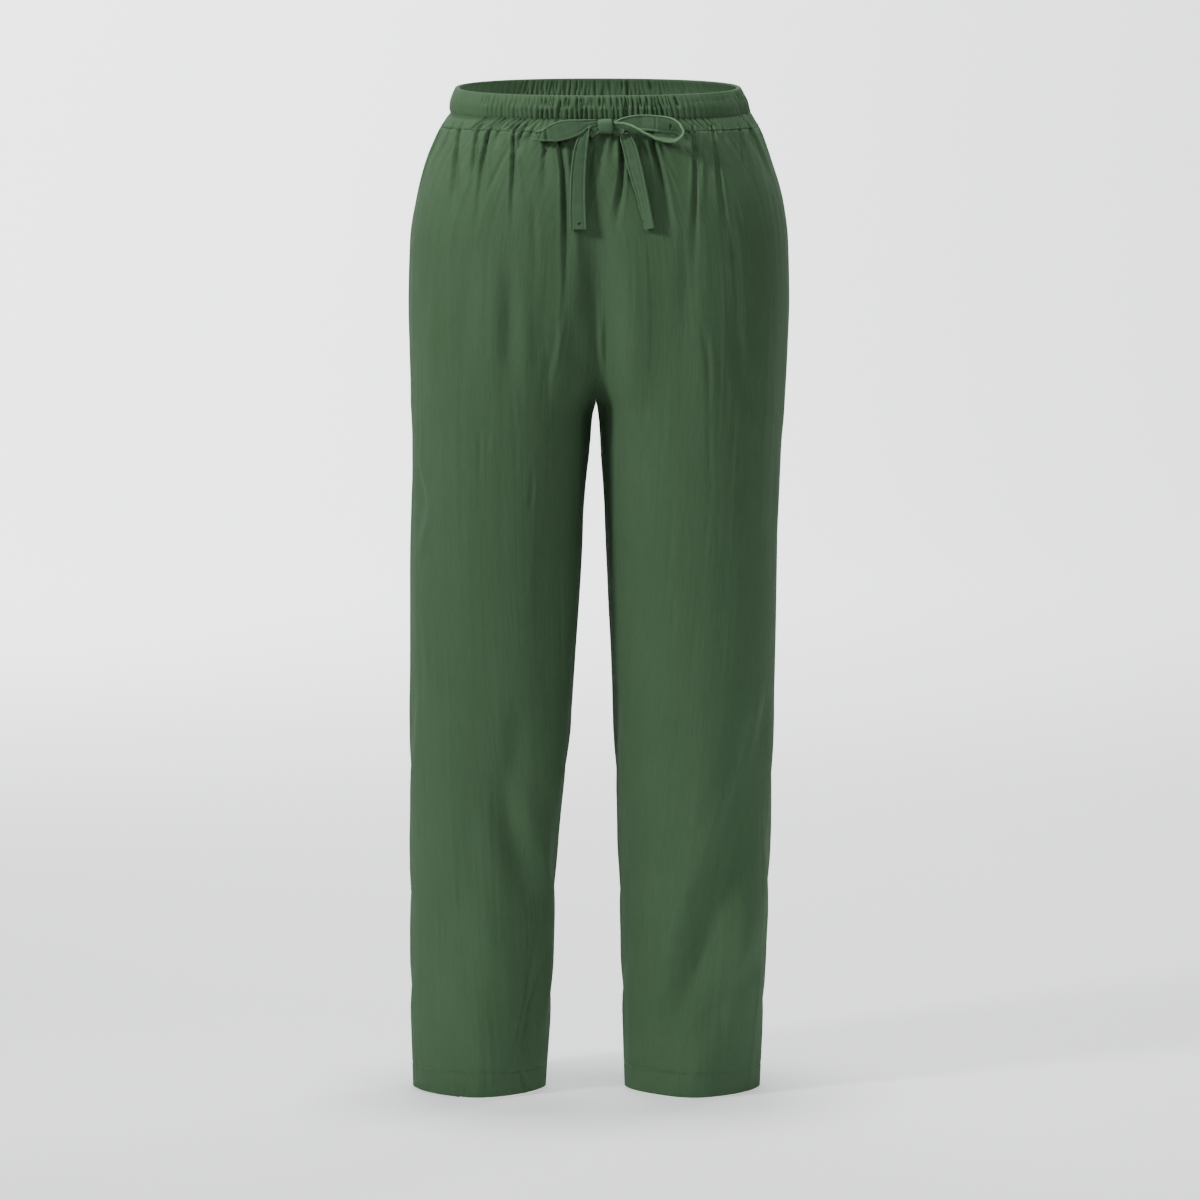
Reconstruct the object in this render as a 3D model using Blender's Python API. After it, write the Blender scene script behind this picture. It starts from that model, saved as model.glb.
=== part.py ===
"""Linen drawstring trousers, filled out as when worn, with nobody in them.

Frame: metres, +Z up, the front faces -Y and the wearer's left is +X. The origin is the middle of the
waist opening, where the wearer holds the garment up. Sizes below are in millimetres.

Each half of the garment is one lobe around its leg. The lobe's level sections are rounded rectangles
(superellipses). Above the crotch the two lobes run into each other and are cut off at the centre plane,
which gives the centre seams and the U of the crotch seam; below it each lobe is a closed leg.
"""

from typing import NamedTuple

import bmesh
import bpy
import numpy as np
from mathutils import Vector

MM = 0.001

# ---- driving sizes, in millimetres ---------------------------------------------------------------

BAND_DEEP = 38.0  # waistband, from its top edge to the seam below the drawstring channel
CASING_DEEP = 24.5  # the elastic casing's share of it; the rest is the drawstring channel
CROTCH = 313.0  # front rise, from the top edge down to where the four panels meet
LENGTH = 1002.0  # from the top edge to the hem, at the side
HEM_DEEP = 24.0
CENTRE_PLANE = -2.0  # x of the centre seams
SEAM_GAP = 0.3
SQUARENESS = 2.25  # exponent of the level sections; 2 is an ellipse
HEM_SQUARENESS = 1.7  # the hems lie flatter, with sharper corners at the seams
HEM_SHAPE_STARTS = 600.0  # how far down the legs begin to take that shape
COLUMN_BEND = 4.0  # how far the cut at the centre plane moves only the columns next to it

CLOTH = 1.3  # wall of a panel: linen with its crumple
HEM_CLOTH = 2.6  # wall where the hem is turned up twice
BAND_WALL = 3.2  # two layers of linen over the elastic
WAIST_TILT = 7.5  # the back of the waist is about this much higher, the front this much lower
TILT_STARTS, TILT_ENDS = -20.0, 100.0  # depths over which that dies away

HEM_STEP = 1.0  # over which a panel's wall thickens to its hem's
TAPE_THICK = 1.5
TAPE_STEP = 5.0  # spacing of the sections along the tape

FRONT_SAMPLES = 400  # points along a level section when the front is looked up
TILT_PASSES = 6  # repeats that settle such a look-up on the tilted waist
HAIR = 1e-9  # share of a turn that keeps the outseam's two columns on their own faces


class Section(NamedTuple):
    """One level section. Outer, inner and middle are distances from the centre plane to a half's outer and
    inner sides and to its deepest line; an inner below 0 lies beyond the plane, where the lobe is cut off."""

    depth: float
    right_outer: float
    left_outer: float
    right_inner: float
    left_inner: float
    right_middle: float
    left_middle: float
    front: float
    back: float


SECTIONS = [
    Section(0.0, 139.5, 143.5, -139.5, -143.5, 0.0, 0.0, 98.0, 102.0),
    Section(5.0, 142.0, 146.5, -142.0, -146.5, 0.0, 0.0, 100.0, 104.0),
    Section(14.0, 145.0, 151.0, -145.0, -151.0, 0.0, 0.0, 102.0, 106.0),
    Section(20.0, 145.5, 152.5, -145.5, -152.5, 0.0, 0.0, 102.0, 106.5),
    Section(24.5, 144.8, 153.8, -144.8, -153.8, 0.0, 0.0, 101.4, 106.2),
    Section(30.0, 148.5, 156.8, -148.5, -156.8, 0.0, 0.0, 104.0, 109.5),
    Section(38.0, 153.5, 161.5, -153.0, -160.0, 0.25, 0.75, 107.0, 113.0),
    Section(52.0, 160.5, 167.5, -151.0, -156.0, 4.75, 5.75, 110.5, 118.0),
    Section(72.0, 168.6, 174.6, -140.0, -143.0, 14.3, 15.8, 114.0, 123.5),
    Section(111.0, 178.8, 185.6, -108.0, -110.0, 35.4, 37.8, 118.0, 131.5),
    Section(151.0, 184.8, 190.6, -82.0, -83.0, 51.4, 53.8, 119.5, 136.5),
    Section(211.0, 186.0, 192.0, -56.0, -57.0, 65.0, 67.5, 119.0, 136.0),
    Section(251.0, 185.3, 190.4, -38.0, -38.5, 74.2, 76.7, 117.5, 131.0),
    Section(285.0, 184.6, 188.6, -21.0, -21.0, 81.6, 83.6, 115.5, 126.0),
    Section(303.0, 184.4, 187.6, -8.0, -8.0, 85.0, 86.6, 114.5, 123.0),
    Section(CROTCH, 184.4, 187.2, 0.3, 0.3, 87.0, 88.4, 114.0, 121.0),
    Section(322.0, 184.0, 186.8, 3.4, 2.0, 88.4, 89.8, 113.5, 119.5),
    Section(351.0, 183.6, 184.6, 6.2, 4.2, 92.4, 92.3, 112.0, 115.0),
    Section(411.0, 184.7, 182.7, 11.0, 7.2, 97.8, 95.0, 109.0, 107.5),
    Section(471.0, 185.9, 180.9, 14.0, 10.2, 99.95, 95.55, 105.5, 101.5),
    Section(531.0, 186.1, 180.1, 18.0, 13.2, 102.05, 96.65, 101.0, 96.5),
    Section(652.0, 186.5, 177.4, 27.1, 18.2, 106.8, 97.8, 92.0, 89.0),
    Section(773.0, 186.8, 174.7, 39.2, 22.3, 113.0, 98.5, 84.5, 84.0),
    Section(895.0, 187.2, 170.1, 43.3, 25.4, 115.25, 97.75, 78.5, 79.5),
    Section(LENGTH, 184.7, 165.3, 50.4, 28.4, 117.55, 96.85, 74.0, 76.0),
]

# ---- folds ---------------------------------------------------------------------------------------


class Fold(NamedTuple):
    """A trough (sink above 0) or ridge (sink below 0) that runs down a face through three places.
    Each x is measured across, as seen from the front; a back fold is laid out in the same x."""

    face: str
    top: float
    top_x: float
    middle: float
    middle_x: float
    end: float
    end_x: float
    sink: float
    wide: float


FOLDS = [
    # gathers that hang from the drawstring channel, across the front
    Fold("front", 36, -132, 60, -141, 84, -147, 2.2, 4.0),
    Fold("front", 36, -115, 66, -120, 96, -123, 2.6, 4.0),
    Fold("front", 36, -103, 50, -110, 110, -112, 3.6, 4.2),
    Fold("front", 36, -93, 52, -97, 70, -99, 2.0, 3.6),
    Fold("front", 36, -75, 50, -83, 104, -84, 3.6, 4.2),
    Fold("front", 36, -64, 54, -69, 84, -72, 2.6, 4.0),
    Fold("front", 40, -50, 92, -50, 150, -49, 3.2, 4.2),
    Fold("front", 40, -38, 104, -33, 170, -29, 3.4, 4.4),
    Fold("front", 40, 4, 77, -3, 130, -8, 2.8, 4.2),
    Fold("front", 40, 23, 78, 23, 132, 17, 5.0, 4.8),
    Fold("front", 40, 39, 70, 42, 104, 44, 2.6, 4.2),
    Fold("front", 40, 57, 92, 66, 140, 71, 3.0, 4.4),
    Fold("front", 36, 86, 48, 91, 62, 94, 2.0, 3.6),
    Fold("front", 36, 96, 90, 96, 158, 95, 4.4, 4.6),
    Fold("front", 36, 113, 66, 117, 100, 120, 2.8, 4.2),
    Fold("front", 36, 133, 58, 137, 84, 140, 1.8, 3.8),
    Fold("front", 36, 149, 60, 157, 90, 163, 2.4, 4.0),
    # the same across the back
    Fold("back", 36, -135, 64, -142, 96, -148, 2.4, 4.0),
    Fold("back", 36, -118, 70, -124, 112, -128, 3.0, 4.2),
    Fold("back", 36, -100, 60, -104, 90, -106, 2.2, 4.0),
    Fold("back", 36, -84, 84, -88, 142, -90, 3.8, 4.6),
    Fold("back", 36, -66, 58, -69, 86, -71, 2.4, 4.0),
    Fold("back", 36, -49, 80, -51, 128, -52, 3.4, 4.4),
    Fold("back", 36, -31, 62, -32, 92, -33, 2.4, 4.0),
    Fold("back", 36, -14, 74, -13, 118, -12, 2.8, 4.2),
    Fold("back", 36, 11, 66, 12, 104, 12, 2.6, 4.0),
    Fold("back", 36, 28, 86, 29, 146, 30, 3.8, 4.6),
    Fold("back", 36, 46, 58, 48, 84, 49, 2.2, 4.0),
    Fold("back", 36, 62, 78, 65, 122, 67, 3.2, 4.4),
    Fold("back", 36, 81, 62, 84, 92, 86, 2.4, 4.0),
    Fold("back", 36, 98, 82, 102, 132, 105, 3.4, 4.4),
    Fold("back", 36, 116, 62, 121, 92, 125, 2.4, 4.0),
    Fold("back", 36, 136, 66, 143, 98, 149, 2.6, 4.0),
    # long soft creases of the legs
    Fold("front", 345, -178, 418, -165, 456, -174, 3.5, 9.0),
    Fold("front", 688, -116, 760, -90, 812, -70, 3.5, 11.0),
    Fold("front", 590, 160, 740, 112, 850, 66, 5.0, 15.0),
    Fold("front", 655, 134, 740, 126, 805, 92, -2.2, 10.0),
    Fold("back", 300, -104, 332, -62, 372, -20, 2.6, 10.0),
    Fold("back", 304, 98, 336, 58, 378, 18, 2.6, 10.0),
    Fold("back", 560, -170, 640, -128, 700, -88, 4.0, 13.0),
    Fold("back", 575, 162, 650, 118, 716, 76, 4.0, 13.0),
    Fold("back", 780, -152, 850, -120, 905, -92, 3.0, 12.0),
    Fold("back", 800, 140, 866, 108, 915, 78, 3.0, 12.0),
]
TOP_SHARE = 0.35  # share of a gather's depth left where the channel's seam flattens it
TOP_FADE = 8.0
BOTTOM_FADE = 0.55  # share of a fold's length over which it dies away

# ---- grid of the panels ----------------------------------------------------------------------------

LEG_COLUMNS = 12  # of one panel below the gathers
GATHER_COLUMNS = 3 * LEG_COLUMNS  # of one panel where the gathers are
GATHER_ROWS = (BAND_DEEP + SEAM_GAP, 43.0, 52.0, 66.0, 84.0, 106.0)
LEG_ROWS = (
    (130.0, 158.0, 188.0, 218.0, 245.0, 268.0, 286.0, 299.0, 308.0, CROTCH, 322.0, 342.0, 372.0, 408.0)
    + (448.0, 490.0, 535.0, 580.0, 625.0, 670.0, 715.0, 760.0, 805.0, 850.0, 895.0, 940.0)
    + (LENGTH - HEM_DEEP, LENGTH - HEM_DEEP + HEM_STEP, LENGTH)
)

# ---- gathers of the waistband ------------------------------------------------------------------------

BAND_ROWS = (0.0, 5.0, 15.0, CASING_DEEP, 30.0, BAND_DEEP)
RIB_SHARE = (0.25, 0.9, 1.0, 0.45, 0.6, 0.3)  # of the rib's height, at each of those rows
COLUMNS_A_RIB = 3


class RibZone(NamedTuple):
    """A stretch of the waistband, in degrees round the waist from its outer side (0) to its centre (90)."""

    face: str
    start: float
    end: float
    ribs: int
    height: float


RIB_ZONES = [
    RibZone("front", 0.0, 34.0, 5, 0.35),
    RibZone("front", 34.0, 90.0, 20, 1.2),
    RibZone("back", 0.0, 30.0, 5, 0.5),
    RibZone("back", 30.0, 90.0, 20, 1.2),
]


# ---- the drawstring --------------------------------------------------------------------------------


class TapePoint(NamedTuple):
    """A place on the tape's middle line: x, depth and how far it stands off the cloth behind it, with the
    tape's width there and the direction across it."""

    x: float
    depth: float
    stand_off: float
    wide: float
    across: tuple


KNOT_X, KNOT_DEPTH = 7.5, 36.0
KNOT_SIZE = (14.6, 13.5, 14.2)  # across, front to back, high
KNOT_STAND_OFF = 9.5
KNOT_ROUND = 4.0
KNOT_ROUND_STEPS = 3
KNOT_ROUND_PROFILE = 0.6
LEAD_STAND_OFF = 1.95  # the tape's short stretch that lies on the channel behind the knot
LEAD_LEAN = (0.0, 0.4, 1.0)  # across it, as the channel slopes
LEAD_REACH = 17.0  # from the knot's middle to each buttonhole
LEAD_WIDE = 10.0
LEAD_PLACES = (-1.0, -0.4, 0.4, 1.0)  # shares of that reach at which its sections stand
LEAD_LIFT = 1.5  # how far above the knot's middle it runs
TAPE_CORNERS = ((-0.5, -0.5), (0.5, -0.5), (0.5, 0.5), (-0.5, 0.5))

UP = (0.0, 0.0, 1.0)
LOOP_RIGHT = [
    TapePoint(-0.9, 36.5, 6.6, 9.0, UP),
    TapePoint(-12.0, 36.7, 5.6, 12.0, UP),
    TapePoint(-26.0, 38.5, 4.6, 14.0, UP),
    TapePoint(-40.0, 41.5, 4.8, 13.5, UP),
    TapePoint(-51.0, 44.0, 6.0, 10.0, (0.1, -0.2, 1.0)),
    TapePoint(-57.2, 45.0, 8.8, 7.5, (0.3, -0.45, 0.9)),
    TapePoint(-57.2, 45.0, 12.0, 7.5, (0.3, -0.45, 0.9)),
    TapePoint(-51.0, 44.2, 14.2, 12.0, (0.15, -0.2, 1.0)),
    TapePoint(-41.5, 41.6, 14.8, 18.0, UP),
    TapePoint(-31.0, 38.9, 14.6, 18.5, UP),
    TapePoint(-20.0, 36.0, 14.2, 13.5, (0.0, 0.05, 1.0)),
    TapePoint(-11.0, 33.9, 13.4, 9.5, (0.0, 0.1, 1.0)),
    TapePoint(-1.0, 32.8, 12.5, 7.0, (0.0, 0.2, 1.0)),
]
LOOP_LEFT = [
    TapePoint(15.9, 36.0, 6.2, 9.0, UP),
    TapePoint(29.0, 33.0, 5.8, 13.0, (0.0, 0.15, 1.0)),
    TapePoint(45.0, 32.6, 5.4, 16.0, (0.0, 0.25, 1.0)),
    TapePoint(58.0, 33.6, 6.0, 16.0, (0.0, 0.15, 1.0)),
    TapePoint(69.0, 36.2, 7.8, 16.0, (0.0, -0.3, 0.95)),
    TapePoint(77.5, 39.6, 11.2, 16.0, (0.1, -0.8, 0.55)),
    TapePoint(80.6, 43.2, 13.6, 16.0, (0.1, -0.97, 0.2)),
    TapePoint(77.0, 47.0, 15.0, 16.0, (0.1, -1.0, -0.05)),
    TapePoint(68.5, 48.9, 15.4, 16.0, (0.1, -1.0, -0.2)),
    TapePoint(59.5, 48.0, 15.6, 16.0, (0.05, -1.0, -0.1)),
    TapePoint(48.0, 43.8, 15.8, 15.5, (0.0, -1.0, 0.05)),
    TapePoint(36.0, 39.2, 15.6, 13.5, (0.0, -0.9, 0.4)),
    TapePoint(25.5, 36.0, 14.4, 10.0, (0.0, -0.7, 0.7)),
    TapePoint(15.8, 34.6, 12.9, 7.0, (0.0, -0.5, 0.85)),
]
TAIL_RIGHT = [
    TapePoint(-3.6, 40.2, 8.0, 8.0, (0.5, 0.0, 1.0)),
    TapePoint(-8.6, 41.2, 7.6, 10.0, (0.75, 0.0, 0.85)),
    TapePoint(-13.8, 45.0, 6.8, 10.0, (0.9, 0.0, 0.6)),
    TapePoint(-17.2, 52.5, 5.8, 10.0, (1.0, 0.2, 0.35)),
    TapePoint(-20.0, 62.5, 5.2, 10.0, (1.0, 0.3, 0.2)),
    TapePoint(-21.7, 76.0, 4.8, 11.0, (1.0, 0.3, 0.05)),
    TapePoint(-22.0, 91.5, 4.4, 12.0, (1.0, 0.2, 0.0)),
    TapePoint(-21.0, 107.5, 4.0, 14.0, (1.0, 0.1, 0.0)),
    TapePoint(-19.8, 120.5, 4.0, 15.5, (1.0, 0.05, 0.0)),
    TapePoint(-18.7, 136.0, 4.0, 16.5, (1.0, 0.0, 0.05)),
]
TAIL_LEFT = [
    TapePoint(18.0, 40.8, 7.0, 8.0, (-0.5, 0.0, 1.0)),
    TapePoint(22.6, 42.0, 6.4, 10.5, (-0.7, 0.0, 0.85)),
    TapePoint(27.4, 46.5, 5.6, 12.0, (-0.95, 0.0, 0.5)),
    TapePoint(30.6, 54.5, 5.0, 12.5, (-1.0, 0.0, 0.28)),
    TapePoint(34.0, 70.0, 4.6, 13.5, (-1.0, 0.1, 0.22)),
    TapePoint(38.0, 85.0, 4.4, 14.0, (-1.0, 0.1, 0.2)),
    TapePoint(41.9, 102.6, 4.4, 13.5, (-1.0, 0.2, 0.22)),
    TapePoint(46.1, 120.4, 5.0, 12.5, (-1.0, 0.4, 0.22)),
    TapePoint(50.0, 135.5, 5.0, 12.0, (-1.0, 0.5, 0.25)),
]

LINEN_GREEN = (0.050, 0.137, 0.058, 1.0)
TAPE_GREEN = (0.058, 0.150, 0.066, 1.0)
LINEN_ROUGHNESS = 0.85


# ---- the lobes' surface ------------------------------------------------------------------------------


def smooth_curve(at, knots, values):
    """Values between the knots on a monotone cubic, so that the outline has no bumps of its own."""
    knots = np.asarray(knots, float)
    values = np.asarray(values, float)
    spans = np.diff(knots)
    slopes = np.diff(values) / spans
    tangents = np.zeros_like(values)
    tangents[0], tangents[-1] = slopes[0], slopes[-1]
    same_way = slopes[:-1] * slopes[1:] > 0
    weight_a = 2 * spans[1:] + spans[:-1]
    weight_b = spans[1:] + 2 * spans[:-1]
    with np.errstate(divide="ignore", invalid="ignore"):
        harmonic = (weight_a + weight_b) / (weight_a / slopes[:-1] + weight_b / slopes[1:])
    tangents[1:-1] = np.where(same_way, harmonic, 0.0)
    at = np.clip(np.asarray(at, float), knots[0], knots[-1])
    span = np.clip(np.searchsorted(knots, at, side="right") - 1, 0, len(spans) - 1)
    t = (at - knots[span]) / spans[span]
    return (
        (1 + 2 * t) * (1 - t) ** 2 * values[span]
        + t * (1 - t) ** 2 * spans[span] * tangents[span]
        + t**2 * (3 - 2 * t) * values[span + 1]
        + t**2 * (t - 1) * spans[span] * tangents[span + 1]
    )


def section_size(name, depth):
    return smooth_curve(depth, [row.depth for row in SECTIONS], [getattr(row, name) for row in SECTIONS])


def fade(value, start, end):
    """0 before start, 1 after end, smooth between."""
    t = np.clip((value - start) / (end - start), 0.0, 1.0)
    return t * t * (3 - 2 * t)


def lobe_points(side, turn, depth):
    """Points of the smooth surface. side is -1 for the wearer's right and 1 for the left; turn runs from
    0 at the centre front or inseam, over 0.5 at the outseam, to 1 at the centre back or inseam."""
    turn, depth = np.broadcast_arrays(np.asarray(turn, float), np.asarray(depth, float))
    name = "right" if side < 0 else "left"
    outer = section_size(name + "_outer", depth)
    inner = section_size(name + "_inner", depth)
    middle = section_size(name + "_middle", depth)
    deep = np.where(turn < 0.5, section_size("front", depth), section_size("back", depth))
    flatter = fade(depth, HEM_SHAPE_STARTS, LENGTH)
    power = 2 / (SQUARENESS + (HEM_SQUARENESS - SQUARENESS) * flatter)
    reach = np.clip((middle - SEAM_GAP / 2) / (middle - inner), 0.0, 1.0)
    seam_turn = (SEAM_GAP / 2 / deep) ** (1 / power)
    cut = np.pi - np.arccos(reach ** (1 / power))
    last = np.where(inner < SEAM_GAP / 2, cut, np.pi - seam_turn)
    share = np.abs(1 - 2 * turn)
    spare = np.pi - last
    bend = 1 + COLUMN_BEND * (1 - 2 * spare / np.pi)
    angle = seam_turn + share * (np.pi - seam_turn) - spare * share**bend
    cosine = np.cos(angle)
    half_wide = np.where(cosine > 0, outer - middle, inner - middle)
    across = middle + half_wide * np.abs(cosine) ** power
    facing = np.where(turn < 0.5, -1.0, 1.0)
    along = facing * deep * np.abs(np.sin(angle)) ** power
    height = -depth + WAIST_TILT * along / deep * (1 - fade(depth, TILT_STARTS, TILT_ENDS))
    return np.stack([CENTRE_PLANE + side * across, along, height], axis=-1)


def front_y(x, depth):
    """The y of the smooth front where, seen from the front, it is at this x and this far down."""
    side = -1 if x < CENTRE_PLANE else 1
    turns = np.linspace(0.0, 0.5, FRONT_SAMPLES)
    row = depth
    for _ in range(TILT_PASSES):
        points = lobe_points(side, turns, row)
        order = np.argsort(points[:, 0])
        height = float(np.interp(x, points[order, 0], points[order, 2]))
        row += depth + height
    return float(np.interp(x, points[order, 0], points[order, 1]))


def normals_of(points):
    """Unit normals of a grid of points whose rows go down and whose columns go round."""
    down = np.gradient(points, axis=0)
    across = np.gradient(points, axis=1)
    normal = np.cross(across, down)
    return normal / np.maximum(np.linalg.norm(normal, axis=-1, keepdims=True), 1e-9)


def fold_depth(points):
    """How far each point of a half's grid sinks under the folds of its face."""
    x, depth = points[..., 0], -points[..., 2]
    sunk = np.zeros_like(x)
    for fold in FOLDS:
        way = smooth_curve(depth, [fold.top, fold.middle, fold.end], [fold.top_x, fold.middle_x, fold.end_x])
        slant = (fold.end_x - fold.top_x) / (fold.end - fold.top)
        off = (x - way) / np.sqrt(1 + slant**2) / fold.wide
        length = fold.end - fold.top
        if fold.top < BAND_DEEP + TOP_FADE:
            begins = TOP_SHARE + (1 - TOP_SHARE) * fade(depth, BAND_DEEP, BAND_DEEP + TOP_FADE)
        else:
            begins = fade(depth, fold.top, fold.top + BOTTOM_FADE * length)
        ends = 1 - fade(depth, fold.end - BOTTOM_FADE * length, fold.end)
        on_face = points[..., 1] < 0 if fold.face == "front" else points[..., 1] > 0
        sunk += np.where(on_face, fold.sink * begins * ends * np.exp(-(off**2)), 0.0)
    return sunk


# ---- meshes --------------------------------------------------------------------------------------------


def make_material(name, colour):
    material = bpy.data.materials.new(name)
    material.use_nodes = True
    shader = material.node_tree.nodes["Principled BSDF"]
    shader.inputs["Base Color"].default_value = colour
    shader.inputs["Roughness"].default_value = LINEN_ROUGHNESS
    shader.inputs["Metallic"].default_value = 0.0
    return material


def finish(name, mesh_builder, colour):
    """Turns a bmesh in millimetres into a named object in metres with its own material."""
    bmesh.ops.recalc_face_normals(mesh_builder, faces=mesh_builder.faces)
    bmesh.ops.scale(mesh_builder, vec=Vector((MM, MM, MM)), verts=mesh_builder.verts)
    mesh = bpy.data.meshes.new(name)
    mesh_builder.to_mesh(mesh)
    mesh_builder.free()
    mesh.shade_smooth()
    mesh.materials.append(make_material(name, colour))
    made = bpy.data.objects.new(name, mesh)
    bpy.context.scene.collection.objects.link(made)
    return made


def add_grid(builder, points):
    return [[builder.verts.new(point) for point in row] for row in points]


def join_rows(builder, upper, lower):
    """Faces between two rows of points, whose counts are the same or 3 to 1."""
    ratio = (len(upper) - 1) // (len(lower) - 1)
    for column in range(len(lower) - 1):
        a, b = lower[column], lower[column + 1]
        top = upper[ratio * column : ratio * (column + 1) + 1]
        if ratio == 1:
            builder.faces.new((top[0], top[1], b, a))
            continue
        builder.faces.new((top[0], top[1], a))
        builder.faces.new((top[1], top[2], b, a))
        builder.faces.new((top[2], top[3], b))


def wall_from(builder, outer, inner):
    """One closed wall between an outer and an inner sheet, each a list of rows."""
    for sheet in (outer, inner):
        for upper, lower in zip(sheet, sheet[1:]):
            join_rows(builder, upper, lower)
    edges = [
        (outer[0], inner[0]),
        (outer[-1], inner[-1]),
        ([row[0] for row in outer], [row[0] for row in inner]),
        ([row[-1] for row in outer], [row[-1] for row in inner]),
    ]
    for out, back in edges:
        for place in range(len(out) - 1):
            builder.faces.new((out[place], out[place + 1], back[place + 1], back[place]))


def keep_to_own_side(points, side, turn):
    """Holds a half's points half a seam gap off the centre plane, and its front off its back."""
    across = np.maximum(side * (points[..., 0] - CENTRE_PLANE), SEAM_GAP / 2)
    facing = np.where(turn < 0.5, -1.0, 1.0)
    along = facing * np.maximum(facing * points[..., 1], SEAM_GAP / 2)
    return np.stack([CENTRE_PLANE + side * across, along, points[..., 2]], axis=-1)


def half_grid(side, rows, columns):
    """Outer and inner points of a half's front and back together, with the folds in both."""
    front = np.linspace(0.0, 0.5 - HAIR, columns + 1)
    turns = np.concatenate([front, 1 - front[::-1]])
    depth, turn = np.meshgrid(np.asarray(rows), turns, indexing="ij")
    smooth = lobe_points(side, turn, depth)
    flip = 1.0 if side < 0 else -1.0
    outward = flip * normals_of(smooth)
    folded = smooth - outward * fold_depth(smooth)[..., None]
    thick = np.where(depth < LENGTH - HEM_DEEP + HEM_STEP, CLOTH, HEM_CLOTH)
    inner = folded - flip * normals_of(folded) * thick[..., None]
    return keep_to_own_side(folded, side, turn), keep_to_own_side(inner, side, turn)


def build_panel(name, side, face):
    """One trouser panel: the fine grid of its gathers on top, the plainer grid of the leg below."""
    builder = bmesh.new()
    sheets = [[], []]
    for rows, columns in ((GATHER_ROWS, GATHER_COLUMNS), (LEG_ROWS, LEG_COLUMNS)):
        part = slice(0, columns + 1) if face == "front" else slice(columns + 1, None)
        for sheet, points in zip(sheets, half_grid(side, rows, columns)):
            sheet.extend(add_grid(builder, points[:, part]))
    wall_from(builder, *sheets)
    return finish(name, builder, LINEN_GREEN)


def quarter_columns(side, face):
    """(turn, side, rib height) of a quarter's columns, from the outseam up to but without the centre."""
    columns = []
    for zone in RIB_ZONES:
        if zone.face != face:
            continue
        count = zone.ribs * COLUMNS_A_RIB
        for step in range(count):
            angle = zone.start + (zone.end - zone.start) * step / count
            turn = 0.5 - angle / 180 if face == "front" else 0.5 + angle / 180
            valley = step % COLUMNS_A_RIB == 0
            columns.append((turn, side, 0.0 if valley else zone.height))
    return columns


def band_columns():
    """The columns once round, from the centre front over the wearer's right side."""
    columns = []
    for side, face, to_outseam in ((-1, "front", True), (-1, "back", False), (1, "back", True), (1, "front", False)):
        quarter = quarter_columns(side, face)
        if to_outseam:
            centre = (0.0 if face == "front" else 1.0, side, 0.0)
            quarter = [centre, *quarter[:0:-1]]
        columns += quarter
    return columns


def band_ring(builder, columns, depth, raised):
    """One ring of the waistband's points at a depth, each moved out from the middle of the waist."""
    ring = []
    for (turn, side, _height), move in zip(columns, raised):
        base = lobe_points(side, turn, depth)
        out = Vector((base[0] - CENTRE_PLANE, base[1], 0.0)).normalized()
        ring.append(builder.verts.new(Vector(base) + out * move))
    return ring


def build_waistband():
    """One loop: gathers raised in its outer points over a plain inside."""
    builder = bmesh.new()
    columns = band_columns()
    count = len(columns)
    rings = []
    for depth, share in zip(BAND_ROWS, RIB_SHARE):
        rings.append(band_ring(builder, columns, depth, [height * share for _turn, _side, height in columns]))
    for depth in (BAND_DEEP, BAND_ROWS[0]):
        rings.append(band_ring(builder, columns, depth, [-BAND_WALL] * count))
    for upper, lower in zip(rings, rings[1:] + rings[:1]):
        for column in range(count):
            after = (column + 1) % count
            builder.faces.new((upper[column], upper[after], lower[after], lower[column]))
    return finish("waistband", builder, LINEN_GREEN)


def smooth_through(rows, steps):
    """Catmull-Rom curve through rows of numbers, with that many steps between each two."""
    rows = np.asarray(rows, float)
    padded = np.vstack([2 * rows[0] - rows[1], rows, 2 * rows[-1] - rows[-2]])
    out = []
    for place in range(1, len(padded) - 2):
        before, here, after, later = padded[place - 1 : place + 3]
        count = steps[place - 1]
        for step in range(count):
            t = step / count
            out.append(
                0.5
                * (
                    2 * here
                    + (after - before) * t
                    + (2 * before - 5 * here + 4 * after - later) * t**2
                    + (3 * here - before - 3 * after + later) * t**3
                )
            )
    out.append(rows[-1])
    return np.array(out)


def tape_rows(route):
    """Sections of the tape: middle point, width and direction across, smoothed along the route."""
    rows = []
    for point in route:
        y = front_y(point.x, point.depth) - point.stand_off
        rows.append((point.x, y, -point.depth, point.wide, *point.across))
    places = np.array(rows)[:, :3]
    gaps = np.linalg.norm(np.diff(places, axis=0), axis=1)
    steps = [max(1, round(gap / TAPE_STEP)) for gap in gaps]
    return smooth_through(rows, steps)


def build_tape(name, route):
    """A flat tape with square edges along its route."""
    sections = tape_rows(route)
    middles = sections[:, :3]
    along = np.gradient(middles, axis=0)
    along /= np.linalg.norm(along, axis=1, keepdims=True)
    across = sections[:, 4:7]
    across = across - along * np.sum(across * along, axis=1, keepdims=True)
    across /= np.linalg.norm(across, axis=1, keepdims=True)
    through = np.cross(along, across)
    builder = bmesh.new()
    rings = []
    for middle, wide, over, out in zip(middles, sections[:, 3], across, through):
        rings.append(
            [builder.verts.new(middle + over * wide * u + out * TAPE_THICK * v) for u, v in TAPE_CORNERS]
        )
    for first, second in zip(rings, rings[1:]):
        for corner in range(4):
            after = (corner + 1) % 4
            builder.faces.new((first[corner], first[after], second[after], second[corner]))
    builder.faces.new(rings[0])
    builder.faces.new(rings[-1])
    return finish(name, builder, TAPE_GREEN)


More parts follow.
